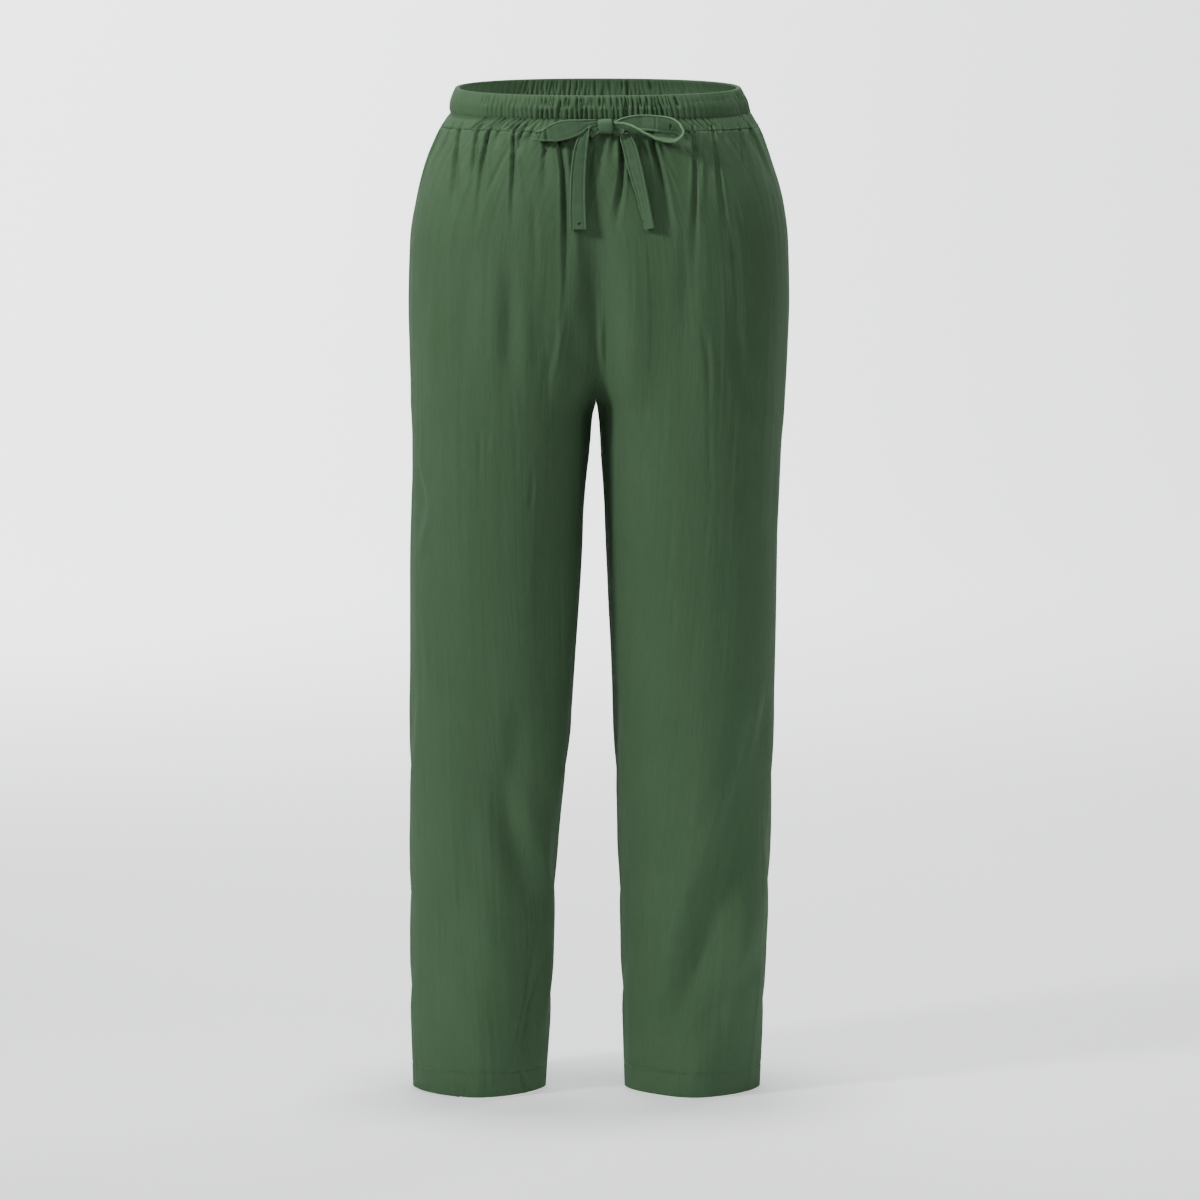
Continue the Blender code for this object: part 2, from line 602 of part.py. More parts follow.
def build_knot():
    """The knot, with the short stretch of tape behind it that comes out of the channel on each side."""
    wide, deep, high = KNOT_SIZE
    middle_y = front_y(KNOT_X, KNOT_DEPTH) - KNOT_STAND_OFF
    builder = bmesh.new()
    bmesh.ops.create_cube(builder, size=1.0)
    bmesh.ops.scale(builder, vec=Vector((wide, deep, high)), verts=builder.verts)
    bmesh.ops.bevel(
        builder, geom=builder.edges[:], offset=KNOT_ROUND, offset_type="OFFSET", segments=KNOT_ROUND_STEPS,
        profile=KNOT_ROUND_PROFILE, affect="EDGES",
    )
    bmesh.ops.translate(builder, vec=Vector((KNOT_X, middle_y, -KNOT_DEPTH)), verts=builder.verts)
    knot = finish("drawstring_knot", builder, TAPE_GREEN)
    route = [
        TapePoint(KNOT_X + place * LEAD_REACH, KNOT_DEPTH - LEAD_LIFT, LEAD_STAND_OFF, LEAD_WIDE, LEAD_LEAN)
        for place in LEAD_PLACES
    ]
    lead = build_tape("drawstring_lead", route)
    lead.hide_render = True
    lead.display_type = "WIRE"
    join = knot.modifiers.new("Tape behind the knot", "BOOLEAN")
    join.operation = "UNION"
    join.object = lead
    return knot


def main():
    for thing in list(bpy.data.objects):
        bpy.data.objects.remove(thing, do_unlink=True)
    for side, hand in ((-1, "right"), (1, "left")):
        for face in ("front", "back"):
            build_panel(f"{face}_panel_{hand}", side, face)
    build_waistband()
    build_knot()
    build_tape("drawstring_loop_right", LOOP_RIGHT)
    build_tape("drawstring_loop_left", LOOP_LEFT)
    build_tape("drawstring_tail_right", TAIL_RIGHT)
    build_tape("drawstring_tail_left", TAIL_LEFT)


main()
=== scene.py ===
"""Linen drawstring trousers, filled out as on a wearer: cloth, gathers, seams, stitching and the tied tape.

Sizes are in millimetres unless something else is said, and new_mesh turns them into metres. Depth is
measured down from the waist, x across as seen from the front, and the wearer's left is +x.
"""

import logging
import math
from dataclasses import dataclass, field
from enum import Enum
from typing import Any, NamedTuple, Optional, Sequence

import bpy
import numpy as np
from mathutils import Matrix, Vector


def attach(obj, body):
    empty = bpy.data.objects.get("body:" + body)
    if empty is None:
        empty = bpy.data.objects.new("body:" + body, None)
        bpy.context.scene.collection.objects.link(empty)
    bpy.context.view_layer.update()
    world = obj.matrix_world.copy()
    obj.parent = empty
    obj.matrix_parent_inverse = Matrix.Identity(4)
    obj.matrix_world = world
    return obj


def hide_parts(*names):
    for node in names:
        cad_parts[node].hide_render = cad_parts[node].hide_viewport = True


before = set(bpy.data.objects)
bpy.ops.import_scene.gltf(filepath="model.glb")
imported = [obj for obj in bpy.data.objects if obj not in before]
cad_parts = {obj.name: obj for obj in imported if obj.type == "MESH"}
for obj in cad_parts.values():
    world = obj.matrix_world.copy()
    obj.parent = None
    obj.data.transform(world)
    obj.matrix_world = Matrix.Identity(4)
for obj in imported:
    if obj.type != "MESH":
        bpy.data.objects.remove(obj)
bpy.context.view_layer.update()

MM = 0.001
TINY = 1e-9
TAPE_EDGE = 20.0  # where the tape's edge lies on its UV map
UP = (0.0, 0.0, 1.0)
log = logging.getLogger("trousers")

Array = np.ndarray
Given = dict[Any, Any]
Range = tuple[float, float]
Rows = Sequence[Sequence[float]]


# ---- the form that the cloth follows ----

# Level sections: distances from the centre plane to a half's outer and inner sides and to its deepest line
# between them, and how deep its front and back are.
SECTIONS = dict(zip(
    "depth right_outer left_outer right_inner left_inner right_middle left_middle front back".split(),
    np.array([
        (0, 139.5, 143.5, -139.5, -143.5, 0, 0, 98, 102), (5, 142, 146.5, -142, -146.5, 0, 0, 100, 104),
        (14, 145, 151, -145, -151, 0, 0, 102, 106), (20, 145.5, 152.5, -145.5, -152.5, 0, 0, 102, 106.5),
        (24.5, 144.8, 153.8, -144.8, -153.8, 0, 0, 101.4, 106.2),
        (30, 148.5, 156.8, -148.5, -156.8, 0, 0, 104, 109.5),
        (38, 153.5, 161.5, -153, -160, 0.25, 0.75, 107, 113),
        (52, 160.5, 167.5, -151, -156, 4.75, 5.75, 110.5, 118),
        (72, 168.6, 174.6, -140, -143, 14.3, 15.8, 114, 123.5),
        (111, 178.8, 185.6, -108, -110, 35.4, 37.8, 118, 131.5),
        (151, 184.8, 190.6, -82, -83, 51.4, 53.8, 119.5, 136.5),
        (211, 186, 192, -56, -57, 65, 67.5, 119, 136),
        (251, 185.3, 190.4, -38, -38.5, 74.2, 76.7, 117.5, 131),
        (285, 184.6, 188.6, -21, -21, 81.6, 83.6, 115.5, 126),
        (303, 184.4, 187.6, -8, -8, 85, 86.6, 114.5, 123), (313, 184.4, 187.2, 0.3, 0.3, 87, 88.4, 114, 121),
        (322, 184, 186.8, 3.4, 2, 88.4, 89.8, 113.5, 119.5),
        (351, 183.6, 184.6, 6.2, 4.2, 92.4, 92.3, 112, 115),
        (411, 184.7, 182.7, 11, 7.2, 97.8, 95, 109, 107.5),
        (471, 185.9, 180.9, 14, 10.2, 99.95, 95.55, 105.5, 101.5),
        (531, 186.1, 180.1, 18, 13.2, 102.05, 96.65, 101, 96.5),
        (652, 186.5, 177.4, 27.1, 18.2, 106.8, 97.8, 92, 89),
        (773, 186.8, 174.7, 39.2, 22.3, 113, 98.5, 84.5, 84),
        (895, 187.2, 170.1, 43.3, 25.4, 115.25, 97.75, 78.5, 79.5),
        (1002, 184.7, 165.3, 50.4, 28.4, 117.55, 96.85, 74, 76),
    ], float).T,
))


class Side(Enum):
    """A half of the garment, by the wearer's hand, with the sign of its x."""

    RIGHT = -1
    LEFT = 1

    @property
    def hand(self) -> str:
        """The side's word in names."""
        return self.name.lower()


class Face(Enum):
    """A way that cloth faces: the direction, and the axis along which its folds are laid out."""

    FRONT = ((0.0, -1.0), 0)
    BACK = ((0.0, 1.0), 0)
    RIGHT = ((-1.0, 0.0), 1)
    LEFT = ((1.0, 0.0), 1)


def smooth_curve(at: Array, knots: Sequence[float], values: Sequence[float]) -> Array:
    """Reads a monotone cubic.

    Args:
        at: Places to read it at, held within the knots.
        knots: Rising places where the values are known.
        values: The values there.

    Returns:
        The curve's values.
    """
    knots, values = np.asarray(knots, float), np.asarray(values, float)
    spans = np.diff(knots)
    slopes = np.diff(values) / spans
    tangents = np.zeros_like(values)
    tangents[0], tangents[-1] = slopes[0], slopes[-1]
    weight_a, weight_b = 2 * spans[1:] + spans[:-1], spans[1:] + 2 * spans[:-1]
    with np.errstate(divide="ignore", invalid="ignore"):
        harmonic = (weight_a + weight_b) / (weight_a / slopes[:-1] + weight_b / slopes[1:])
    tangents[1:-1] = np.where(slopes[:-1] * slopes[1:] > 0, harmonic, 0.0)
    at = np.clip(np.asarray(at, float), knots[0], knots[-1])
    span = np.clip(np.searchsorted(knots, at, side="right") - 1, 0, len(spans) - 1)
    wide = spans[span]
    t = (at - knots[span]) / wide
    first = (1 + 2 * t) * (1 - t) ** 2 * values[span] + t * (1 - t) ** 2 * wide * tangents[span]
    return first + t**2 * (3 - 2 * t) * values[span + 1] + t**2 * (t - 1) * wide * tangents[span + 1]


def fade(value: Array, start: float, end: float) -> Array:
    """A smooth step from 0 at start to 1 at end."""
    t = np.clip((value - start) / (end - start), 0.0, 1.0)
    return t * t * (3 - 2 * t)


def bell(off: Array) -> Array:
    """A soft hump, 1 at 0, that has died away by 2 or so."""
    return np.exp(-(off**2))


def cleft(off: Array, sharp: float = 1.4) -> Array:
    """A sharp hump, 1 at 0, as the gap between two gathers that press on each other."""
    return np.exp(-(np.abs(off) ** sharp))


def unit(vectors: Array) -> Array:
    """Vectors at a length of 1."""
    return vectors / np.maximum(np.linalg.norm(vectors, axis=-1, keepdims=True), TINY)


def normals_of(points: Array, flip: float = 1.0) -> Array:
    """Unit normals of a grid of points whose rows go down, turned over where flip is -1."""
    return flip * unit(np.cross(np.gradient(points, axis=1), np.gradient(points, axis=0)))


def arc_along(points: Array) -> Array:
    """Distance along each row of a grid of points, from its first column."""
    steps = np.linalg.norm(np.diff(points, axis=1), axis=-1)
    return np.concatenate([np.zeros((len(points), 1)), np.cumsum(steps, axis=1)], axis=1)


def nearest(values: Sequence[float], value: float) -> int:
    """The number of the value that lies nearest to this one."""
    return int(np.argmin(np.abs(np.asarray(values) - value)))


@dataclass(frozen=True)
class TrouserForm:
    """The smooth outside of the garment: two lobes, one round each leg, cut off at the centre plane."""

    centre_plane: float = -2.0
    touching: float = 0.1
    squareness: float = 2.25
    hem_squareness: float = 1.7
    hem_shape_starts: float = 600.0
    column_bend: float = 4.0
    waist_tilt: float = 7.5
    tilt_ends: Range = (-20.0, 100.0)
    band_deep: float = 38.0
    casing_deep: float = 24.5
    crotch: float = 313.0
    length: float = 1002.0
    seam_reach: float = 14.0
    valley_reach: float = 16.0
    valley_share: float = 0.75
    valley_steepest: float = 1.5
    valley_above: Range = (45.0, 4.0)
    meet_above: Range = (30.0, 2.0)

    def off_centre(self, points: Array, side: Side) -> Array:
        """How far points of a half lie from the centre plane."""
        return side.value * (points[..., 0] - self.centre_plane)

    def points(self, side: Side, turn: Array, depth: Array) -> Array:
        """Places on a half's lobe.

        Args:
            side: Which half.
            turn: 0 at the centre front or inseam, 0.5 at the outseam, 1 at the centre back or inseam.
            depth: How far down.

        Returns:
            Points, with a last axis of 3.
        """
        turn, depth = np.broadcast_arrays(np.asarray(turn, float), np.asarray(depth, float))
        outer, inner, middle, front, back = (
            smooth_curve(depth, SECTIONS["depth"], SECTIONS[name])
            for name in (f"{side.hand}_outer", f"{side.hand}_inner", f"{side.hand}_middle", "front", "back")
        )
        deep = np.where(turn < 0.5, front, back)
        flatter = fade(depth, self.hem_shape_starts, self.length)
        power = 2 / (self.squareness + (self.hem_squareness - self.squareness) * flatter)
        reach = np.clip(middle / (middle - inner), 0.0, 1.0)
        cut = np.pi - np.arccos(reach ** (1 / power))
        spare = np.pi - np.where(inner < 0, cut, np.pi)
        share = np.abs(1 - 2 * turn)
        bend = 1 + self.column_bend * (1 - 2 * spare / np.pi)
        angle = share * np.pi - spare * share**bend
        cosine = np.cos(angle)
        half_wide = np.where(cosine > 0, outer - middle, inner - middle)
        across = middle + half_wide * np.abs(cosine) ** power
        along = np.where(turn < 0.5, -1.0, 1.0) * deep * np.abs(np.sin(angle)) ** power
        tilt = self.waist_tilt * (1 - fade(depth, *self.tilt_ends))
        x, z = self.centre_plane + side.value * across, tilt * along / deep - depth
        return np.stack([x, along, z], axis=-1)

    def front_y(self, x: float, depth: float, samples: int = 400, passes: int = 6) -> float:
        """The y of the smooth front at this x and this far down, as seen from the front."""
        side = Side.RIGHT if x < self.centre_plane else Side.LEFT
        turns = np.linspace(0.0, 0.5, samples)
        row = depth
        for _ in range(passes):
            points = self.points(side, turns, row)
            order = np.argsort(points[:, 0])
            row += depth + float(np.interp(x, points[order, 0], points[order, 2]))
        return float(np.interp(x, points[order, 0], points[order, 1]))

    def close_seams(self, points: Array, smooth: Array, side: Side) -> Array:
        """Brings a half's folded edges back to the centre plane, and eases the cloth beside them over.

        Args:
            points: The folded cloth of a half, from its front edge round to its back edge.
            smooth: The same cloth without folds.
            side: Which half.

        Returns:
            The points, with no gap at the centre seams.
        """
        held = points.copy()
        across, home = self.off_centre(points, side), self.off_centre(smooth, side)
        arc = arc_along(smooth)
        for edge, away in ((0, arc), (-1, arc[:, -1:] - arc)):
            short = (across - home)[:, edge] * (home[:, edge] < self.touching)
            across = across - short[:, None] * np.exp(-away / self.seam_reach)
        held[..., 0] = self.centre_plane + side.value * np.maximum(across, 0.0)
        return held

    def round_valley(self, points: Array, side: Side, depth: Array) -> Array:
        """Rounds the sharp valley in which the two lobes would meet above the crotch.

        Args:
            points: A half's cloth, from its front edge round to its back edge.
            side: Which half.
            depth: How far down each point is.

        Returns:
            The points, moved outwards beside the centre plane.
        """
        rounded, reach = points.copy(), self.valley_reach
        across = self.off_centre(points, side)
        above = 1 - fade(depth, *(self.crotch - up for up in self.valley_above))
        middle, beside = points.shape[1] // 2, reach / 3
        for part, way in ((slice(0, middle), -1.0), (slice(-1, middle - 1, -1), 1.0)):
            away, y = across[:, part], points[:, part, 1]
            risen = np.array([np.interp(beside, *row) for row in zip(away, y)]) - y[:, 0]
            slope = np.clip(way * risen / beside, 0.0, self.valley_steepest)[:, None]
            near = np.clip(1 - away / reach, 0.0, 1.0)
            rounded[:, part, 1] += way * self.valley_share * slope * reach / 2 * near**2 * above[:, part]
        return rounded

    def meet(self, halves: dict[Side, Array], depth: Array) -> None:
        """Brings the two halves' centre edges to one line above the crotch, half way between them.

        Args:
            halves: Each half's cloth, changed in place.
            depth: How far down each point is.
        """
        above = 1 - fade(depth, *(self.crotch - up for up in self.meet_above))
        count = depth.shape[1]
        for edge, part in ((0, slice(0, count // 2)), (-1, slice(count // 2, None))):
            line = (halves[Side.RIGHT][:, edge] + halves[Side.LEFT][:, edge]) / 2
            for side, points in halves.items():
                short = (line - points[:, edge])[:, None, 1:]
                away = self.off_centre(points[:, part], side)
                points[:, part, 1:] += short * (np.exp(-away / self.seam_reach) * above[:, part])[..., None]


FORM = TrouserForm()


# ---- folds ----


class Fold(NamedTuple):
    """A trough (sink above 0) or ridge (below 0) down a face, through three places.

    Its x is measured across, y on a side. lean above 0 makes its left slope the steeper one.
    """

    face: Face
    top: float
    top_x: float
    middle: float
    middle_x: float
    end: float
    end_x: float
    sink: float
    wide: float
    lean: float = 0.0


def face_folds(face: Face, *rows: Sequence[float]) -> list[Fold]:
    """A face's folds, from rows of their numbers."""
    return [Fold(face, *row) for row in rows]


GATHERS = [
    *face_folds(
        Face.FRONT,
        # hanging from the drawstring channel, across the front from the wearer's right to the left
        (31, -133, 44, -138, 135, -143, 6.4, 3, 0.3), (34, -147, 52, -152, 80, -158, 1.6, 3.4),
        (32, -121, 42, -123, 56, -125, 2, 2.4), (30, -112, 46, -120, 110, -123, 5.2, 3, 0.3),
        (29, -97, 45, -109, 140, -119, 5.6, 3, 0.4), (33, -104, 41, -107, 54, -109, 1.8, 2.2),
        (29, -89, 41, -97, 62, -101, 3.4, 2.8, 0.2), (30, -75, 45, -83.5, 150, -83, 5.2, 3, 0.4),
        (28, -66, 46, -76, 72, -81, 3.8, 2.4, 0.2), (27, -53, 42, -65, 62, -69, 3.4, 2.4),
        (29, -78, 38, -85, 50, -90, 2.8, 2.2), (36, -49, 60, -51, 108, -52, 3.4, 3.8, 0.2),
        (38, -41, 84, -34, 240, -30, 5.6, 4, 0.4), (96, -62, 140, -62, 186, -62, 1.2, 3),
        (38, -26, 60, -24, 110, -24, 1.8, 4), (36, -6, 80, -9, 160, -12, 4.6, 5),
        (38, 13, 52, 15, 72, 14, 2.2, 2.6), (44, 6, 77, 1, 110, -4, 2.6, 4),
        (38, 21, 76, 24.5, 145, 16, 8, 2.6, -0.2), (38, 28, 90, 20, 150, 19, 2, 4),
        (40, 36, 70, 40, 104, 43, 1.8, 3.2), (40, 52, 84, 62, 165, 76, 6.5, 4.2, -0.3),
        (33, 82, 42, 88.5, 54, 93, 3, 2.2), (32, 94, 92, 96, 190, 96, 4.4, 2.4, -0.4),
        (44, 101.5, 92, 102, 140, 101, -1.6, 2.6), (31, 106, 40, 109, 54, 111, 2, 2.2),
        (32, 112, 72, 117, 160, 129, 4.2, 2.4, -0.2), (32, 122, 42, 124, 56, 126, 1.6, 2.4),
        (31, 137, 50, 142, 96, 149, 3.6, 2.6), (31, 148, 48, 152, 70, 158, 2.8, 3.2),
        (110, 133, 150, 147, 188, 163, 1.4, 4.2),
    ),
    *face_folds(
        Face.BACK,
        # across the back
        (30, -135, 64, -142, 96, -148, 3.5, 3.6, 0.2), (30, -118, 70, -124, 112, -128, 4.5, 3.8, 0.3),
        (30, -108, 44, -110, 60, -111, 1.9, 2.8), (30, -100, 60, -104, 90, -106, 3.2, 3.4),
        (30, -84, 84, -88, 142, -90, 5.8, 4, 0.3), (30, -74, 46, -76, 66, -77, 2.2, 2.8),
        (30, -66, 58, -69, 86, -71, 3.5, 3.4), (30, -49, 80, -51, 128, -52, 5.1, 3.8, 0.2),
        (30, -40, 48, -41, 68, -42, 1.9, 2.6), (30, -31, 62, -32, 92, -33, 3.5, 3.4),
        (30, -14, 74, -13, 118, -12, 4.2, 3.8, 0.2), (30, 11, 66, 12, 104, 12, 3.8, 3.6),
        (30, 20, 46, 20, 62, 21, 1.9, 2.6), (30, 28, 86, 29, 146, 30, 5.8, 4, -0.3),
        (30, 46, 58, 48, 84, 49, 3.2, 3.4), (30, 62, 78, 65, 122, 67, 4.8, 3.8, -0.2),
        (30, 72, 46, 73, 64, 75, 2.1, 2.8), (30, 81, 62, 84, 92, 86, 3.5, 3.6),
        (30, 98, 82, 102, 132, 105, 5.1, 4, -0.3), (30, 108, 46, 110, 62, 112, 1.9, 2.8),
        (30, 116, 62, 121, 92, 125, 3.5, 3.6), (30, 136, 66, 143, 98, 149, 3.8, 3.6),
    ),
    *face_folds(
        Face.RIGHT,
        # on the sides
        (30, -44, 60, -48, 96, -50, 2.9, 3.6), (30, -20, 72, -22, 124, -24, 3.8, 4),
        (30, 12, 54, 14, 82, 15, 2.6, 3.4), (30, 38, 76, 42, 128, 45, 3.8, 4.2),
    ),
    *face_folds(
        Face.LEFT,
        (30, -40, 66, -44, 104, -46, 3.2, 3.8), (30, -12, 54, -13, 80, -14, 2.6, 3.4),
        (30, 16, 74, 18, 132, 20, 3.8, 4.2), (30, 46, 60, 50, 94, 53, 2.9, 3.6),
    ),
]

CREASES = [
    *face_folds(
        Face.FRONT,
        # broad soft bands of the front: hips and thighs
        (130, -124, 200, -128, 300, -134, 2.1, 8), (150, -104, 220, -104, 330, -106, -1.8, 8),
        (130, -88, 200, -86, 300, -86, 2.4, 7), (170, -66, 240, -70, 330, -72, -2.1, 8),
        (220, -38, 270, -48, 330, -56, 1, 6, 0.3), (205, -31, 260, -40, 300, -48, -1.3, 2.4),
        (196, -24, 250, -24, 320, -30, 2.5, 7), (64, -3, 200, 2, 345, 2, 5.4, 14.5),
        (200, 2, 250, 3, 300, 4, -1.9, 2.6), (120, 40, 230, 35, 400, 26, -4.8, 16),
        (96, 90, 170, 88, 285, 77, 1.6, 9), (170, 104, 260, 106, 380, 104, -2.1, 12),
        (200, 132, 260, 138, 330, 148, 2.1, 6), (210, 96, 270, 108, 330, 109, 1.5, 3),
        (160, -158, 240, -164, 330, -168, -1.8, 7),
        # the soft bend in the right leg's outer side and the fine pulls below the hip
        (335, -182, 408, -168, 425, -166, -2.3, 3.6, 0.3),
        (405, -166, 430, -169, 470, -180, -2.3, 3.6, -0.3), (345, -186, 408, -176, 460, -186, 3.2, 7),
        (500, -180, 540, -171, 610, -169, -1.3, 3), (322, -116, 350, -116, 392, -117, 1, 2),
        (330, -104, 352, -104, 376, -105, -0.9, 2), (372, -64, 400, -66, 420, -67, 1.2, 2.2),
        (420, -52, 470, -56, 540, -62, 1.3, 5), (300, 108, 350, 109, 400, 109, 0.9, 2),
        (340, 142, 390, 140, 440, 136, 1.2, 3),
        # right leg, knee to hem
        (560, -100, 690, -112, 800, -126, 3.3, 15), (600, -148, 720, -150, 860, -128, -3.8, 16),
        (570, -76, 662, -80, 765, -90, 7, 15), (640, -104, 735, -84, 850, -54, 8.8, 13, -0.2),
        (740, -128, 810, -112, 910, -100, -3.3, 14), (752, -46, 772, -42, 800, -40, 5.1, 6),
        (810, -50, 905, -66, 1000, -92, -3.4, 3, 0.4), (862, -50, 920, -66, 975, -80, 4.2, 7),
        (760, -142, 785, -141, 825, -141, -1, 2), (818, -148, 835, -150, 856, -153, 1, 1.8),
        (880, -120, 930, -118, 985, -116, -2, 14),
        # left leg, knee to hem
        (570, 164, 640, 158, 700, 142, -2.8, 5, 0.3), (580, 172, 625, 166, 680, 154, 3.8, 8),
        (640, 143, 706, 124, 810, 92, -4.2, 7.5), (600, 158, 785, 118, 1060, 36, 12.5, 19, 0.2),
        (690, 152, 775, 138, 850, 118, 3, 9, 0.2), (780, 160, 850, 142, 950, 78, -4.2, 13),
        (850, 150, 905, 122, 970, 96, 3.8, 12), (880, 32, 940, 33, 990, 34, -2, 4),
        (640, 70, 760, 58, 880, 52, -2.5, 14), (560, 176, 640, 174, 720, 173, -1.4, 3),
        # the inner sides of the legs, which turn away from the light
        (330, -16, 560, -25, 820, -44, -3.2, 13), (800, 118, 890, 108, 985, 104, 5, 24),
        (560, 152, 690, 148, 850, 152, 5, 24), (780, -60, 880, -62, 990, -78, 4, 12),
        # hem pulls
        (976, -77, 986, -74, 999, -71, 3, 2.2), (984, -143, 994, -139, 1003, -135, 2, 1.8),
        (986, -131, 994, -132, 1003, -133, 1.4, 1.6), (960, 96, 980, 88, 998, 82, 0.9, 5),
    ),
    *face_folds(
        Face.BACK,
        # seat and back of the legs
        (300, -104, 332, -62, 372, -20, 4.8, 10), (304, 98, 336, 58, 378, 18, 4.8, 10),
        (330, -130, 372, -92, 420, -56, 2.9, 9), (336, 126, 380, 88, 432, 50, 2.9, 9),
        (120, -112, 190, -116, 270, -120, 2.1, 10), (130, -60, 200, -62, 286, -58, 1.8, 9),
        (140, -88, 210, -90, 290, -92, -1.8, 9), (126, 84, 200, 90, 280, 92, 2.1, 10),
        (150, 48, 220, 50, 296, 46, -1.8, 9), (60, -2, 150, -2, 290, -2, 2.9, 9),
        (560, -170, 640, -128, 700, -88, 7.2, 13, 0.2), (575, 162, 650, 118, 716, 76, 7.2, 13, -0.2),
        (520, -150, 600, -116, 650, -84, -3.2, 9), (540, 146, 612, 106, 668, 70, -3.2, 9),
        (640, -60, 720, -84, 790, -120, 4.8, 12), (660, 52, 742, 74, 806, 104, 4.4, 12),
        (780, -152, 850, -120, 905, -92, 5.4, 12, 0.2), (800, 140, 866, 108, 915, 78, 5.4, 12, -0.2),
        (740, -170, 800, -140, 850, -110, -2.9, 9), (760, 150, 826, 126, 880, 96, -2.9, 9),
        (880, -80, 930, -104, 975, -130, 2.9, 11), (430, -140, 520, -142, 620, -138, -2.1, 13),
        (440, 120, 530, 122, 640, 118, -2.1, 13),
    ),
    *face_folds(
        Face.RIGHT,
        # outer sides of the legs
        (560, -52, 650, -18, 720, 24, 2.7, 12), (700, 40, 780, 10, 850, -30, 2.4, 12),
        (300, -30, 380, -8, 470, 8, 1.4, 14), (180, 20, 270, 26, 380, 22, -1.1, 12),
        (830, -40, 890, -8, 950, 30, 1.8, 11),
    ),
    *face_folds(
        Face.LEFT,
        (570, 46, 650, 12, 730, -26, 2.7, 12), (700, -44, 780, -10, 856, 28, 2.4, 12),
        (310, 24, 400, 4, 480, -12, 1.4, 14), (190, -18, 280, -24, 390, -20, -1.1, 12),
        (840, 34, 900, 4, 960, -26, 1.8, 11),
    ),
]


class Patch(NamedTuple):
    """The cloth of one panel, as grids: each point's distance from the panel's outseam and how far down it
    is. The seed is a number of the panel's own for its random folds."""

    arc: Array
    depth: Array
    seed: int


